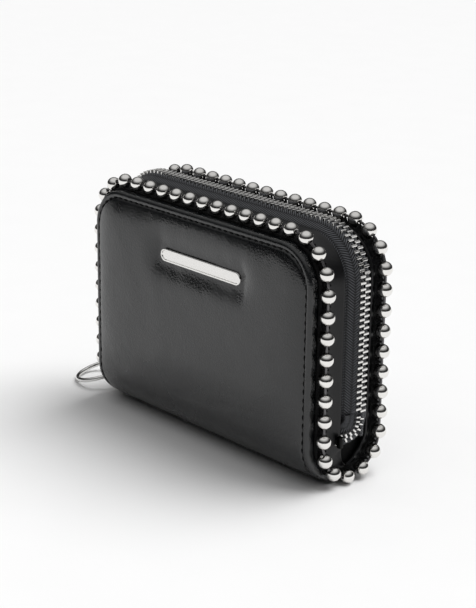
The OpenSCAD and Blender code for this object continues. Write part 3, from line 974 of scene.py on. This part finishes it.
def cutSkin(name, keep):
    used, verts, normals, faces = {}, [], [], []
    orders = [tuple(p.vertices) for p in whole.data.polygons]
    for order, row in zip(orders, skinFaceRow):
        if not keep(row):
            continue
        for v in order:
            if v not in used:
                used[v] = len(verts)
                verts.append(tuple(whole.data.vertices[v].co))
                normals.append(skinNormals[v])
        faces.append(tuple(used[v] for v in order))
    mesh = bpy.data.meshes.new(name)
    mesh.from_pydata(verts, [], faces)
    for p in mesh.polygons:
        p.use_smooth = True
    mesh.normals_split_custom_set_from_vertices(normals)
    obj = bpy.data.objects.new(name, mesh)
    bpy.context.scene.collection.objects.link(obj)
    return obj


frontSkin = cutSkin("leather_front", lambda row: row >= cutRow)
backSkin = cutSkin("leather_back", lambda row: row < cutRow)
bpy.data.objects.remove(whole)
place(frontSkin, None, coverLeather, ["front_cover", "front_padding"])
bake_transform(frontSkin)
backNodes = ["back_cover", "back_padding", "spine_cover"]
place(backSkin, "back_half", coverLeather, backNodes)
print("leather wrap done", len(frontSkin.data.polygons), len(backSkin.data.polygons))

# stitches along the rim
stitch = {"pitch": 2.85, "length": 1.95, "thick": 0.6, "lift": -0.2, "sunk": 0.35}


def buildStitch(b):
    half, r = stitch["length"] / 2 * mm, stitch["thick"] / 2 * mm
    bow = ((-1, 0.45, -0.34), (-0.75, 0.9, -0.1), (0, 1.0, 0.05), (0.75, 0.9, -0.1), (1, 0.45, -0.34))
    turnedShape(b, [(r * thick, half * h, drop * mm) for h, thick, drop in bow], 6)


stitchShape = shapeObject("stitchShape", buildStitch)


seamHalfX = halfWidth - wallet["rimInset"] - skin["stitch"]
seamHalfT = halfT - skin["stitch"]
seamR = skin["corner"] - skin["stitch"]
seamBend = seamR * math.pi / 2
seamSides = [2 * (seamHalfT - seamR), seamBend, 2 * (seamHalfX - seamR), seamBend] * 2
seamTotal = sum(seamSides)


def seamPoint(s):
    # a lap of the strip: each side is straight first and then bends through its corner
    edge = 0
    while s > seamSides[edge]:
        s -= seamSides[edge]
        edge += 1
    outX, outT = ((1, 0), (0, 1), (-1, 0), (0, -1))[edge // 2]
    reach, span = (seamHalfX, seamHalfT) if outX else (seamHalfT, seamHalfX)
    if edge % 2 == 0:
        out, along = reach, s - (span - seamR)
    else:
        out = reach - seamR + seamR * math.cos(s / seamR)
        along = span - seamR + seamR * math.sin(s / seamR)
    return outX * out - outT * along, outT * out + outX * along


def seamRun(start, end):
    pts, outs = [], []
    steps = int((end - start) / 0.6)
    for k in range(steps + 1):
        x, t = seamPoint((start + (end - start) * k / steps) % seamTotal)
        y, z, ny, nz = stripPoint(t)
        lift = stitch["lift"] - stitch["sunk"] * (1 - smooth(abs(t), 6, spineL / 2 - 4))
        pts.append(skinPoint(x, t, lift))
        outs.append((0.0, ny, nz))
    return pts, outs, int((end - start) / stitch["pitch"])


seamGap = 1.5           # bare leather at each end of a run
foldS = seamSides[0] / 2 + spineL / 2
endS = 2 * seamSides[0] + 2 * seamBend + seamSides[2] - foldS
rowPiece(
    "rim_stitches_front", [seamRun(foldS + seamGap, endS - seamGap)], stitchShape, blackThread,
    "front_half", seed=5, turnJitter=0.05,
)
rowPiece(
    "rim_stitches_back", [seamRun(endS + seamGap, foldS + seamTotal - seamGap)], stitchShape, blackThread,
    "back_half", seed=9, turnJitter=0.05,
)

# leather bands between the chain and the zip
band = {"start": 2.15, "thick": 1.0, "low": -2.45, "rise": 1.35, "dip": 0.30}
# the band's inner edge, by degrees round the end of the spine
bandEdges = {
    -1: [(0, 8.55), (20, 9.0), (49, 8.3), (65, 6.2), (80, 3.6), (90, 2.75)],
    1: [(0, 4.75), (30, 5.2), (60, 4.6), (80, 3.2), (90, 2.75)],
}


def bandEdge(s, side):
    over = max(-s, s - archL, 0.0)
    return table(math.degrees(over / halfDepth), bandEdges[side])


def bandRing(s, side):
    edge = bandEdge(s, side)
    over = max(-s, s - archL, 0.0)
    a = clamp(over / (halfDepth * math.pi / 2))
    rise = band["rise"] * (1 - 0.75 * a)
    w0 = band["start"]
    ring, uv = [], []

    def plain(f):
        return band["low"] + rise * f - band["dip"] * math.sin(math.pi * f)

    for k in range(10):
        f = k / 9
        w = w0 + (edge - w0) * f
        u = plain(f)
        u += 0.07 * ripple(s, w, side * 3, 7) + 0.03 * ripple(s, w, side * 5, 2.2)
        ring.append(onEdge(s, u, w, side))
        uv.append((s, w))
    r = band["thick"] / 2
    topU = band["low"] + rise
    for k in range(1, 7):
        g = math.radians(90 - 180 * k / 7)
        ring.append(onEdge(s, topU - r + r * math.sin(g), edge + r * math.cos(g), side))
        uv.append((s, edge))
    for k in range(4, -1, -1):
        f = k / 4
        w = w0 + (edge - w0) * f
        ring.append(onEdge(s, plain(f) - band["thick"], w, side))
        uv.append((s, w))
    return ring, uv


def bandPiece(name, side, body, replaces):
    reach = halfDepth * math.radians(88)
    steps = archSteps(-reach, archL + reach, 1.6, 0.9)
    rings = [bandRing(s, side) for s in steps]
    obj = loft(name, [r[0] for r in rings], [r[1] for r in rings], sharp=60)
    return place(obj, body, bandLeather, replaces)


frontBand = bandPiece("band_front", -1, None, ["front_side_band"])
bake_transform(frontBand)
bandPiece("band_back", 1, "back_half", ["back_side_band"])

# binding that the chain is sewn to
binding = {
    "low": -3.05, "top": -2.58, "from": -1.25, "to": 2.2,
    "lump": 3.1, "lumpAt": 0.95, "lip": 0.5, "lipAt": -1.0,
    "meet": 4.1, "gap": 0.1,        # how far round the spine's end the front piece gives way to the back
}


def bindingHeight(s, w):
    fromBall = ((s - wallet["ballPhase"]) / ballPitch) % 1.0
    # a knot of thread stands half way between two balls
    knot = math.exp(-((fromBall - 0.5) / 0.13) ** 2) * math.exp(-((w - binding["lumpAt"]) / 0.62) ** 2)
    lip = binding["lip"] * math.exp(-((w - binding["lipAt"]) / 0.35) ** 2)
    fuzz = 0.10 * ripple(s, w, 2, 0.7)
    return binding["top"] + binding["lump"] * knot + lip + 0.25 * smooth(w, 0.9, 1.9) + fuzz


def bindingPiece(name, side, start, end, body, replaces):
    rings, uvs = [], []
    across = [binding["from"], -0.9, -0.3, 0.1, 0.4, 0.7, 0.95, 1.2, 1.5, 1.8, binding["to"]]
    for s in archSteps(start, end, 0.45, 0.45):
        along = s if side < 0 else 2 * archL + uL - s
        ring = [onEdge(s, bindingHeight(along, w), w, side) for w in across]
        ring += [onEdge(s, binding["low"], binding[end], side) for end in ("to", "from")]
        rings.append(ring)
        uvs.append([(s, w) for w in across] + [(s, binding["to"]), (s, binding["from"])])
    obj = loft(name, rings, uvs, sharp=70)
    return place(obj, body, bindingCloth, replaces)


reach = binding["meet"] - binding["gap"]
frontBinding = bindingPiece("binding_front", -1, -reach, archL + reach, None, ["front_chain_bed"])
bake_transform(frontBinding)
backBeds = ["back_chain_bed", "spine_chain_bed"]
bindingPiece("binding_back", 1, binding["meet"] - uL, archL + uL - binding["meet"], "back_half", backBeds)
print("bands and binding done")

# gussets that close the spine's two ends
gusset = {"radius": 12.4, "sweep": 1.24, "before": 0.12, "depth": 3.0, "hollow": 0.7, "thick": 0.6}


def gussetPiece(name, side):
    rings = []
    steps = 40
    for k in range(steps + 1):
        a = math.pi * (gusset["sweep"] * k / steps - gusset["before"])
        ring = []
        for f in [0.0, 0.15, 0.3, 0.45, 0.6, 0.75, 0.9, 1.0]:
            r = gusset["radius"] * f
            fold = 0.5 * math.sin(3 * a + 0.8) * math.sin(math.pi * f) + 0.25 * ripple(a * 6, r, side, 3)
            u = -gusset["depth"] - gusset["hollow"] * math.sin(math.pi * f * 0.9) + fold * 0.5
            ring.append((side * (halfWidth + u), -r * math.cos(a), axisZ - r * math.sin(a)))
        rings.append(ring)
    inner = [[(x - side * gusset["thick"], y, z) for x, y, z in ring] for ring in rings]
    return shellRows(name, rings, inner)


place(gussetPiece("gusset_left", -1), "back_half", gussetLeather, ["end_gussets"])
place(gussetPiece("gusset_right", 1), "back_half", gussetLeather)

# zip tapes and teeth
tape = {"thick": 0.5, "in": -3.1, "out": 1.35, "under": 2.6, "sunk": 1.9, "leftFoot": 21.2, "rightFoot": 8.6}
leftFoot = tape["leftFoot"] - axisZ
rightFoot = foldZ + tape["rightFoot"] - axisZ


def zipEdge(side):
    return halfDepth - side * wallet["zipMiddle"]


def tapeRing(s, side):
    startW = bandEdge(s, side) - tape["under"]
    endW = zipEdge(side) - 0.5
    sunk = 0.0
    if side < 0:
        sunk = tape["sunk"] * smooth(s, archL - rightFoot - 1.5, archL - rightFoot + 2.5)
    top, bottom, uv = [], [], []
    for k in range(13):
        f = k / 12
        w = startW + (endW - startW) * f
        u = tape["in"] + (tape["out"] - sunk - tape["in"]) * smooth(f, 0.24, 0.92)
        u += 0.12 * ripple(s, w, side * 2, 9) * math.sin(math.pi * f)
        top.append(onEdge(s, u, w, side))
        bottom.append(onEdge(s, u - tape["thick"], w, side))
        uv.append((s, w))
    return top + bottom[::-1], uv + uv[::-1]


def tapePiece(name, side, start, end, body, replaces):
    rings = [tapeRing(s, side) for s in archSteps(start, end, 1.6, 0.9)]
    obj = loft(name, [r[0] for r in rings], [r[1] for r in rings], sharp=50)
    return place(obj, body, zipTape, replaces)


tapePiece("zip_tape_front", -1, leftFoot - 0.7, archL - 0.8, "front_half", ["front_zip_tape"])
tapePiece("zip_tape_back", 1, 0.4, archL - 0.4, "back_half", ["back_zip_tape"])

tooth = {"pitch": 2.0, "l": 2.35, "w": 0.92, "h": 1.5, "round": 0.2, "lift": 1.25, "back": 1.05}


def boxTooth(b, size, rounding):
    bmesh.ops.create_cube(b, size=1)
    bmesh.ops.scale(b, vec=[v * mm for v in size], verts=b.verts)
    bmesh.ops.bevel(b, geom=list(b.edges), offset=rounding * mm, segments=1, profile=0.5, affect="EDGES")


def buildTooth(b):
    # local X out of the zip, local Y across it, local Z along it
    boxTooth(b, (tooth["h"], tooth["l"], tooth["w"]), tooth["round"])


toothShape = shapeObject("toothShape", buildTooth, smoothShade=False)


def teethRun(side, start, end):
    count = int((end - start) / tooth["pitch"]) + 1
    last = start + (count - 1) * tooth["pitch"]
    steps = int((last - start) / 0.5)
    pts, outs = [], []
    for k in range(steps + 1):
        s = start + (last - start) * k / steps
        pts.append(onEdge(s, tooth["lift"], zipEdge(side) - tooth["back"], side))
        outs.append(edgeFrame(s, side)[1])
    return pts, outs, count


rowPiece(
    "zip_teeth_front", [teethRun(-1, leftFoot, archL - rightFoot)], toothShape, teethNickel,
    "front_half", ["front_zip_teeth"], turnJitter=0.03,
)
rowPiece(
    "zip_teeth_back", [teethRun(1, leftFoot + 1, archL - rightFoot)], toothShape, teethNickel,
    "back_half", ["back_zip_teeth"], turnJitter=0.03,
)

# lower right end: the closed zip bends forward and tucks in behind the front band
tail = {
    "radius": 8.0, "row": 0.85, "pitch": 1.5, "shrink": 0.78, "below": 0.9, "out": 1.25, "tuck": 3.6,
    "innerEdge": 5.2, "outerEdge": 4.6, "narrowing": 1.6,
}
tailZ = foldZ + tape["rightFoot"] - tail["below"]


def tailPoint(a, off, u=0.0):
    r = tail["radius"] + off
    x = halfWidth + tail["out"] - tail["tuck"] * smooth(a, 35, 92) + u
    y = wallet["zipMiddle"] - tail["radius"] + r * math.cos(math.radians(a))
    return (x, y, tailZ - r * math.sin(math.radians(a)))


def buildTailTooth(b):
    buildTooth(b)
    bmesh.ops.scale(b, vec=(tail["shrink"],) * 3, verts=b.verts)


tailTooth = shapeObject("tailTooth", buildTailTooth, smoothShade=False)


def tailRun(off, start, end):
    pts, outs = [], []
    n = 40
    for k in range(n + 1):
        a = start + (end - start) * k / n
        pts.append(tailPoint(a, off))
        outs.append((1.0, 0.0, 0.0))
    count = int(math.radians(end - start) * tail["radius"] / tail["pitch"]) + 1
    return pts, outs, count


rowPiece(
    "zip_teeth_end", [tailRun(-tail["row"], 3, 81), tailRun(tail["row"], 8.4, 86.4)], tailTooth, teethNickel,
    "back_half", ["zip_end_teeth"], turnJitter=0.04, seed=3,
)


def tailTape():
    rings, uvs = [], []
    for k in range(31):
        a = -8 + 100 * k / 30
        ring, uv, low = [], [], []
        outerReach = tail["outerEdge"] - tail["narrowing"] * smooth(a, 10, 80)
        for q in range(13):
            off = -tail["innerEdge"] + (tail["innerEdge"] + outerReach) * q / 12
            u = -0.35 - 0.05 * off * off + 0.15 * ripple(a / 4, off, 3, 2)
            ring.append(tailPoint(a, off, u))
            low.append(tailPoint(a, off, u - tape["thick"]))
            uv.append((a * 0.14, off))
        rings.append(ring + low[::-1])
        uvs.append(uv + uv[::-1])
    return loft("zip_tape_end", rings, uvs, sharp=50)


place(tailTape(), "back_half", zipTape, ["zip_end_tape"])


stub = {"foot": 5.7, "in": -2.6, "rise": 4.0, "gap": 0.8, "width": 5.2}


def tapeStub(name, side):
    rings, uvs = [], []
    top = leftFoot - 1.0 if side < 0 else 0.2
    for k in range(12):
        z = axisZ - stub["foot"] + (top + stub["foot"]) * k / 11
        ring, low, uv = [], [], []
        for q in range(8):
            f = q / 7
            y = wallet["zipMiddle"] + side * (stub["gap"] + stub["width"] * (1 - f))
            x = -halfWidth - stub["in"] - stub["rise"] * smooth(f, 0.1, 0.8)
            ring.append((x, y, z))
            low.append((x + tape["thick"], y, z))
            uv.append((z, y))
        rings.append(ring + low[::-1])
        uvs.append(uv + uv[::-1])
    return loft(name, rings, uvs, sharp=50)


place(tapeStub("zip_tape_start_front", -1), "back_half", zipTape)
place(tapeStub("zip_tape_start_back", 1), "back_half", zipTape)
print("zip done")


# metal pieces kept from the frame, with softened edges


def softened(node, name, width, body, material):
    b = bmesh.new()
    b.from_mesh(frameNodes[node].data)
    bmesh.ops.remove_doubles(b, verts=b.verts, dist=2e-6)
    bmesh.ops.dissolve_limit(b, angle_limit=math.radians(3), verts=b.verts, edges=b.edges)
    sharpEdges = [e for e in b.edges if len(e.link_faces) == 2 and e.calc_face_angle(0) > math.radians(35)]
    bmesh.ops.bevel(
        b, geom=sharpEdges, offset=width * mm, segments=2, profile=0.5, affect="EDGES", clamp_overlap=True,
    )
    bmesh.ops.triangulate(b, faces=[f for f in b.faces if len(f.verts) > 4])
    mesh = bpy.data.meshes.new(name)
    b.to_mesh(mesh)
    b.free()
    for p in mesh.polygons:
        p.use_smooth = True
    mesh.set_sharp_from_angle(angle=math.radians(38))
    obj = bpy.data.objects.new(name, mesh)
    bpy.context.scene.collection.objects.link(obj)
    return place(obj, body, material, [node])


for node, name, width, body, material, slot in (
    ("zip_slider_body", "slider_body", 0.16, "zip_slider", hardwareNickel, "hardware_metal"),
    ("zip_slider_bail", "slider_bail", 0.25, "zip_slider", hardwareNickel, "hardware_metal"),
    ("pull_link", "pull_link_plate", 0.2, "link", hardwareNickel, "hardware_metal"),
    ("coin_slider_body", "coin_slider", 0.14, "coin_slider", hardwareNickel, "hardware_metal"),
    ("coin_slider_bail", "coin_bail", 0.16, "coin_slider", hardwareNickel, "hardware_metal"),
    ("coin_pull_tab", "coin_tab_plate", 0.14, "coin_tab", hardwareNickel, "hardware_metal"),
    ("zip_bottom_stop", "zip_stop_end", 0.2, "back_half", blackEnamel, "hardware_metal"),
    ("zip_top_stops", "zip_stops_start", 0.2, "back_half", hardwareNickel, "hardware_metal"),
):
    softened(node, name, width, body, material)


badgePlate = {"border": 0.62, "recess": 0.3, "round": 0.3, "slope": 0.18, "floor": 0.75, "ends": 20}


def stadium(low, high, inset, y):
    radius = (high[2] - low[2]) / 2
    middle = (high[2] + low[2]) / 2
    points = []
    for x, start in ((high[0] - radius, 90), (low[0] + radius, 270)):
        for k in range(badgePlate["ends"] + 1):
            a = math.radians(start - 180 * k / badgePlate["ends"])
            r = radius - inset
            points.append((x + r * math.cos(a), y, middle + r * math.sin(a)))
    return points


def makeBadge():
    low, high = nodeBox("badge_bar")
    soft, border, recess = badgePlate["round"], badgePlate["border"], badgePlate["recess"]
    rings = [stadium(low, high, 0.0, high[1]), stadium(low, high, 0.0, low[1] + soft)]
    for k in range(1, 5):
        a = math.radians(22.5 * k)
        rings.append(stadium(low, high, soft * (1 - math.cos(a)), low[1] + soft * (1 - math.sin(a))))
    rings.append(stadium(low, high, border, low[1]))
    rings.append(stadium(low, high, border + badgePlate["slope"], low[1] + recess))
    rings.append(stadium(low, high, border + badgePlate["floor"], low[1] + recess))
    plate = loft("badge_plate", rings, sharp=40)
    return place(plate, "front_half", badgeMetal, ["badge_bar"])


makeBadge()


def paintNode(node, material):
    obj = frameNodes[node]
    for slotItem in obj.material_slots:
        slotItem.material = material
    if not obj.material_slots:
        obj.data.materials.append(material)


for node, material in (
    ("pull_ring", ringSteel), ("badge_pins", hardwareNickel), ("badge_washers", hardwareNickel),
    ("front_board", greyBoard), ("back_board", greyBoard),
):
    paintNode(node, material)

# inside: lining, card pockets, coin pocket
lining = {"radius": 12.55, "half": 54.4, "corner": 13.4, "thick": 0.45, "columns": 36}


def liningRows(tFrom, tTo, depth):
    rows, uvs = [], []
    radius = lining["radius"]
    bend = math.pi * radius / 2
    steps = int((tTo - tFrom) / 1.5)
    for k in range(steps + 1):
        t = tFrom + (tTo - tFrom) * k / steps
        front = t > 0
        if abs(t) > bend:
            lift = abs(t) - bend
            y = (radius + 0.4 * smooth(lift, 0, 4)) * (-1 if front else 1)
            z = axisZ + lift
            ny, nz = (1 if front else -1), 0
        else:
            a = math.pi / 2 - t / radius
            y, z = -radius * math.cos(a), axisZ - radius * math.sin(a)
            ny, nz = math.cos(a), math.sin(a)
        half = lining["half"]
        if z > cornerZ:
            half = halfWidth - cornerR + math.sqrt(max(0.05, lining["corner"] ** 2 - (z - cornerZ) ** 2))
        row, uv = [], []
        for q in range(lining["columns"] + 1):
            x = (2 * q / lining["columns"] - 1) * half
            bulge = 0.06 * ripple(x, t, 3, 14) * smooth(half - abs(x), 0, 5)
            row.append((x, y + ny * (bulge - depth), z - nz * depth))
            uv.append((x, t))
        rows.append(row)
        uvs.append(uv)
    return rows, uvs


def liningPiece(name, tFrom, tTo):
    inner, uvs = liningRows(tFrom, tTo, 0)
    outer, _ = liningRows(tFrom, tTo, lining["thick"])
    return shellRows(name, inner, outer, uvs, sharp=50)


arcHalf = math.pi * lining["radius"] / 2
topT = arcHalf + cornerZ + lining["corner"] - 0.05 - axisZ
liningCut = arcHalf - 4
frontLining = liningPiece("lining_front", liningCut, topT)
place(frontLining, None, liningCloth, ["front_lining"])
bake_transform(frontLining)
backLining = liningPiece("lining_back", -topT, liningCut)
place(backLining, "back_half", liningCloth, ["back_lining", "spine_lining"])

pocket = {"bow": 0.12, "lip": 0.10, "stitchDrop": 2.6, "stitchInset": 2.0, "stitchPitch": 2.6}


def pocketPiece(name, node, side, body):
    low, high = nodeBox(node)
    face, back = (high[1], low[1]) if side < 0 else (low[1], high[1])
    outer, inner, uvs = [], [], []
    for k in range(25):
        z = low[2] + (high[2] - low[2]) * k / 24
        rowA, rowB, uv = [], [], []
        fromTop = high[2] - z
        pinch = 1 - smooth(fromTop, 0.0, 0.5)
        lip = pocket["lip"] * math.exp(-((fromTop - 1.2) / 0.9) ** 2)
        for q in range(41):
            x = (q / 20 - 1) * high[0]
            bow = pocket["bow"] * math.sin(math.pi * q / 40) * smooth(z, low[2], high[2])
            bow += 0.05 * ripple(x, z, side * 3, 12)
            rowA.append((x, face - side * (bow * 0.5 + lip - 0.2 * pinch), z))
            rowB.append((x, back - side * (bow * 0.5 + 0.1 * pinch), z))
            uv.append((x, z))
        outer.append(rowA)
        inner.append(rowB)
        uvs.append(uv)
    obj = shellRows(name, outer, inner, uvs, sharp=50)
    return place(obj, body, pocketLeather, [node])


seams = {"front_half": [], "back_half": []}
for side, half in ((-1, "front"), (1, "back")):
    body = half + "_half"
    for number in ("back", "middle", "front"):
        node = f"{half}_card_pocket_{number}"
        pocketPiece(f"{half}_pocket_{number}", node, side, body)
        low, high = nodeBox(node)
        y = high[1] + 0.05 if side < 0 else low[1] - 0.05
        z = high[2] - pocket["stitchDrop"]
        start, run = low[0] + pocket["stitchInset"], high[0] - low[0] - 2 * pocket["stitchInset"]
        pts = [(start + run * k / 60, y, z) for k in range(61)]
        seams[body].append((pts, [(0.0, -side, 0.0)] * len(pts), int(run / pocket["stitchPitch"])))
for body, runs in seams.items():
    name = "pocket_stitches_" + body.split("_")[0]
    rowPiece(name, runs, stitchShape, blackThread, body, seed=21)


def coinWall(name, node, sign):
    low, high = nodeBox(node)
    face, back = (high[1], low[1]) if sign > 0 else (low[1], high[1])
    outer, inner, uvs = [], [], []
    for k in range(25):
        z = low[2] + (high[2] - low[2]) * k / 24
        rowA, rowB, uv = [], [], []
        for q in range(37):
            x = low[0] + (high[0] - low[0]) * q / 36
            wave = 0.14 * ripple(x, z, sign * 4, 16) * math.sin(math.pi * q / 36)
            rowA.append((x, face + wave * 0.6 - sign * 0.05, z))
            rowB.append((x, back + wave * 0.6, z))
            uv.append((x, z))
        outer.append(rowA)
        inner.append(rowB)
        uvs.append(uv)
    obj = shellRows(name, outer, inner, uvs, sharp=50)
    return place(obj, "back_half", liningCloth, [node])


coinWall("coin_wall_front", "coin_pocket_front_wall", -1)
coinWall("coin_wall_back", "coin_pocket_back_wall", 1)
softened("coin_pocket_edging", "coin_edging", 0.3, "back_half", pocketLeather)


coin = {"slot": 0.8, "bevel": 0.15, "tooth": (1.3, 1.5, 0.85), "toothRound": 0.17}
coin.update({"count": 43, "pitch": 2.0, "inset": 0.45, "shift": 1.0, "row": 0.72})


def coinTape():
    low, high = nodeBox("coin_zip_tape")
    verts, faces, uvs = [], [], []
    middle = (low[1] + high[1]) / 2
    inner, outer = coin["slot"], (high[1] - low[1]) / 2
    corners = [(inner, high[2]), (outer - coin["bevel"], high[2]), (outer, high[2] - coin["bevel"])]
    corners += [(outer, low[2]), (inner, low[2])]
    n, size = 60, len(corners)
    for side in (-1, 1):
        base = len(verts)
        for k in range(n + 1):
            x = low[0] + (high[0] - low[0]) * k / n
            verts += [(x, middle + side * y, z) for y, z in corners]
            uvs += [(x, y) for y, z in corners]
        for k in range(n):
            a, b = base + k * size, base + (k + 1) * size
            for q in range(size):
                q2 = (q + 1) % size
                faces.append((a + q, a + q2, b + q2, b + q))
        faces.append(tuple(base + q for q in range(size)))
        faces.append(tuple(base + n * size + q for q in range(size)))
    obj = makeObject("coin_tape", verts, faces, uvs)
    obj.data.set_sharp_from_angle(angle=math.radians(40))
    return place(obj, "back_half", zipTape, ["coin_zip_tape"])


coinTape()
coinLow, coinHigh = nodeBox("coin_zip_teeth")


def buildCoinTooth(b):
    boxTooth(b, coin["tooth"], coin["toothRound"])


coinTooth = shapeObject("coinTooth", buildCoinTooth, smoothShade=False)
coinRuns = []
coinY = (coinLow[1] + coinHigh[1]) / 2
coinZ = (coinLow[2] + coinHigh[2]) / 2
coinRun = coin["pitch"] * (coin["count"] - 1)
for side, shift in ((-1, 0.0), (1, coin["shift"])):
    start = coinLow[0] + coin["inset"] + shift
    pts = [(start + coinRun * k / 80, coinY + side * coin["row"], coinZ) for k in range(81)]
    coinRuns.append((pts, [(0.0, 0.0, 1.0)] * len(pts), coin["count"]))
rowPiece(
    "coin_teeth", coinRuns, coinTooth, teethNickel,
    "back_half", ["coin_zip_teeth"], seed=31,
)
print("inside done")

for shape in (ballShape, wireShape, stitchShape, toothShape, tailTooth, coinTooth):
    bpy.data.objects.remove(shape)

# floor and light
floor = {"half": 6.0, "tone": 0.9, "speck": 0.01}
corners = [(-1, -1), (1, -1), (1, 1), (-1, 1)]
floorMesh = bpy.data.meshes.new("floor")
floorMesh.from_pydata([(x * floor["half"], y * floor["half"], 0) for x, y in corners], [], [(0, 1, 2, 3)])
floorObj = bpy.data.objects.new("floor", floorMesh)
bpy.context.scene.collection.objects.link(floorObj)
floorMat, floorTree, floorShader = startMaterial("paleFloor", (floor["tone"],) * 3, roughness=0.75)
floorShader.inputs["Specular IOR Level"].default_value = 0.25
speck = floorTree.nodes.new("ShaderNodeTexNoise")
speck.inputs["Scale"].default_value = 40
floorTree.links.new(objectCoords(floorTree), speck.inputs["Vector"])
tones = [(floor["tone"] + step,) * 3 for step in (-floor["speck"], floor["speck"])]
mixColor(floorTree, floorShader, speck.outputs["Fac"], *tones)
paint(floorObj, floorMat)

# a dark horizon and a bright zenith; the camera itself sees one pale tone
sky = {
    "strength": 0.66, "seen": 0.879,
    "horizon": (0.02, 0.03), "middle": (0.42, 0.07), "zenith": (0.85, 1.0),
}
world = bpy.data.worlds.new("studio")
bpy.context.scene.world = world
world.use_nodes = True
worldTree = world.node_tree
worldTree.nodes.clear()
worldLink = worldTree.links.new
coords = worldTree.nodes.new("ShaderNodeTexCoord")
parts = worldTree.nodes.new("ShaderNodeSeparateXYZ")
worldLink(coords.outputs["Generated"], parts.inputs[0])
ramp = worldTree.nodes.new("ShaderNodeValToRGB")
stops = ramp.color_ramp.elements
for stop, (height, tone) in zip(stops, (sky["horizon"], sky["zenith"])):
    stop.position = height
    stop.color = (tone, tone, tone, 1)
height, tone = sky["middle"]
stops.new(height).color = (tone, tone, tone, 1)
worldLink(parts.outputs["Z"], ramp.inputs["Fac"])
lit = worldTree.nodes.new("ShaderNodeBackground")
worldLink(ramp.outputs["Color"], lit.inputs["Color"])
lit.inputs["Strength"].default_value = sky["strength"]
seen = worldTree.nodes.new("ShaderNodeBackground")
seen.inputs["Color"].default_value = (sky["seen"],) * 3 + (1,)
ray = worldTree.nodes.new("ShaderNodeLightPath")
pick = worldTree.nodes.new("ShaderNodeMixShader")
worldLink(ray.outputs["Is Camera Ray"], pick.inputs["Fac"])
worldLink(lit.outputs[0], pick.inputs[1])
worldLink(seen.outputs[0], pick.inputs[2])
last = worldTree.nodes.new("ShaderNodeOutputWorld")
worldLink(pick.outputs[0], last.inputs["Surface"])

# a wide soft lamp above and behind, kept out of the reflections
lamp = {"energy": 2.55, "angle": 46, "turn": (-24, 14, 0)}
lampData = bpy.data.lights.new("topSoft", "SUN")
lampData.energy = lamp["energy"]
lampData.angle = math.radians(lamp["angle"])
lampObj = bpy.data.objects.new("topSoft", lampData)
lampObj.rotation_euler = [math.radians(v) for v in lamp["turn"]]
lampObj.visible_glossy = False
bpy.context.scene.collection.objects.link(lampObj)

bpy.context.scene.view_settings.view_transform = "Standard"
bpy.context.scene.view_settings.look = "None"

bpy.context.view_layer.update()
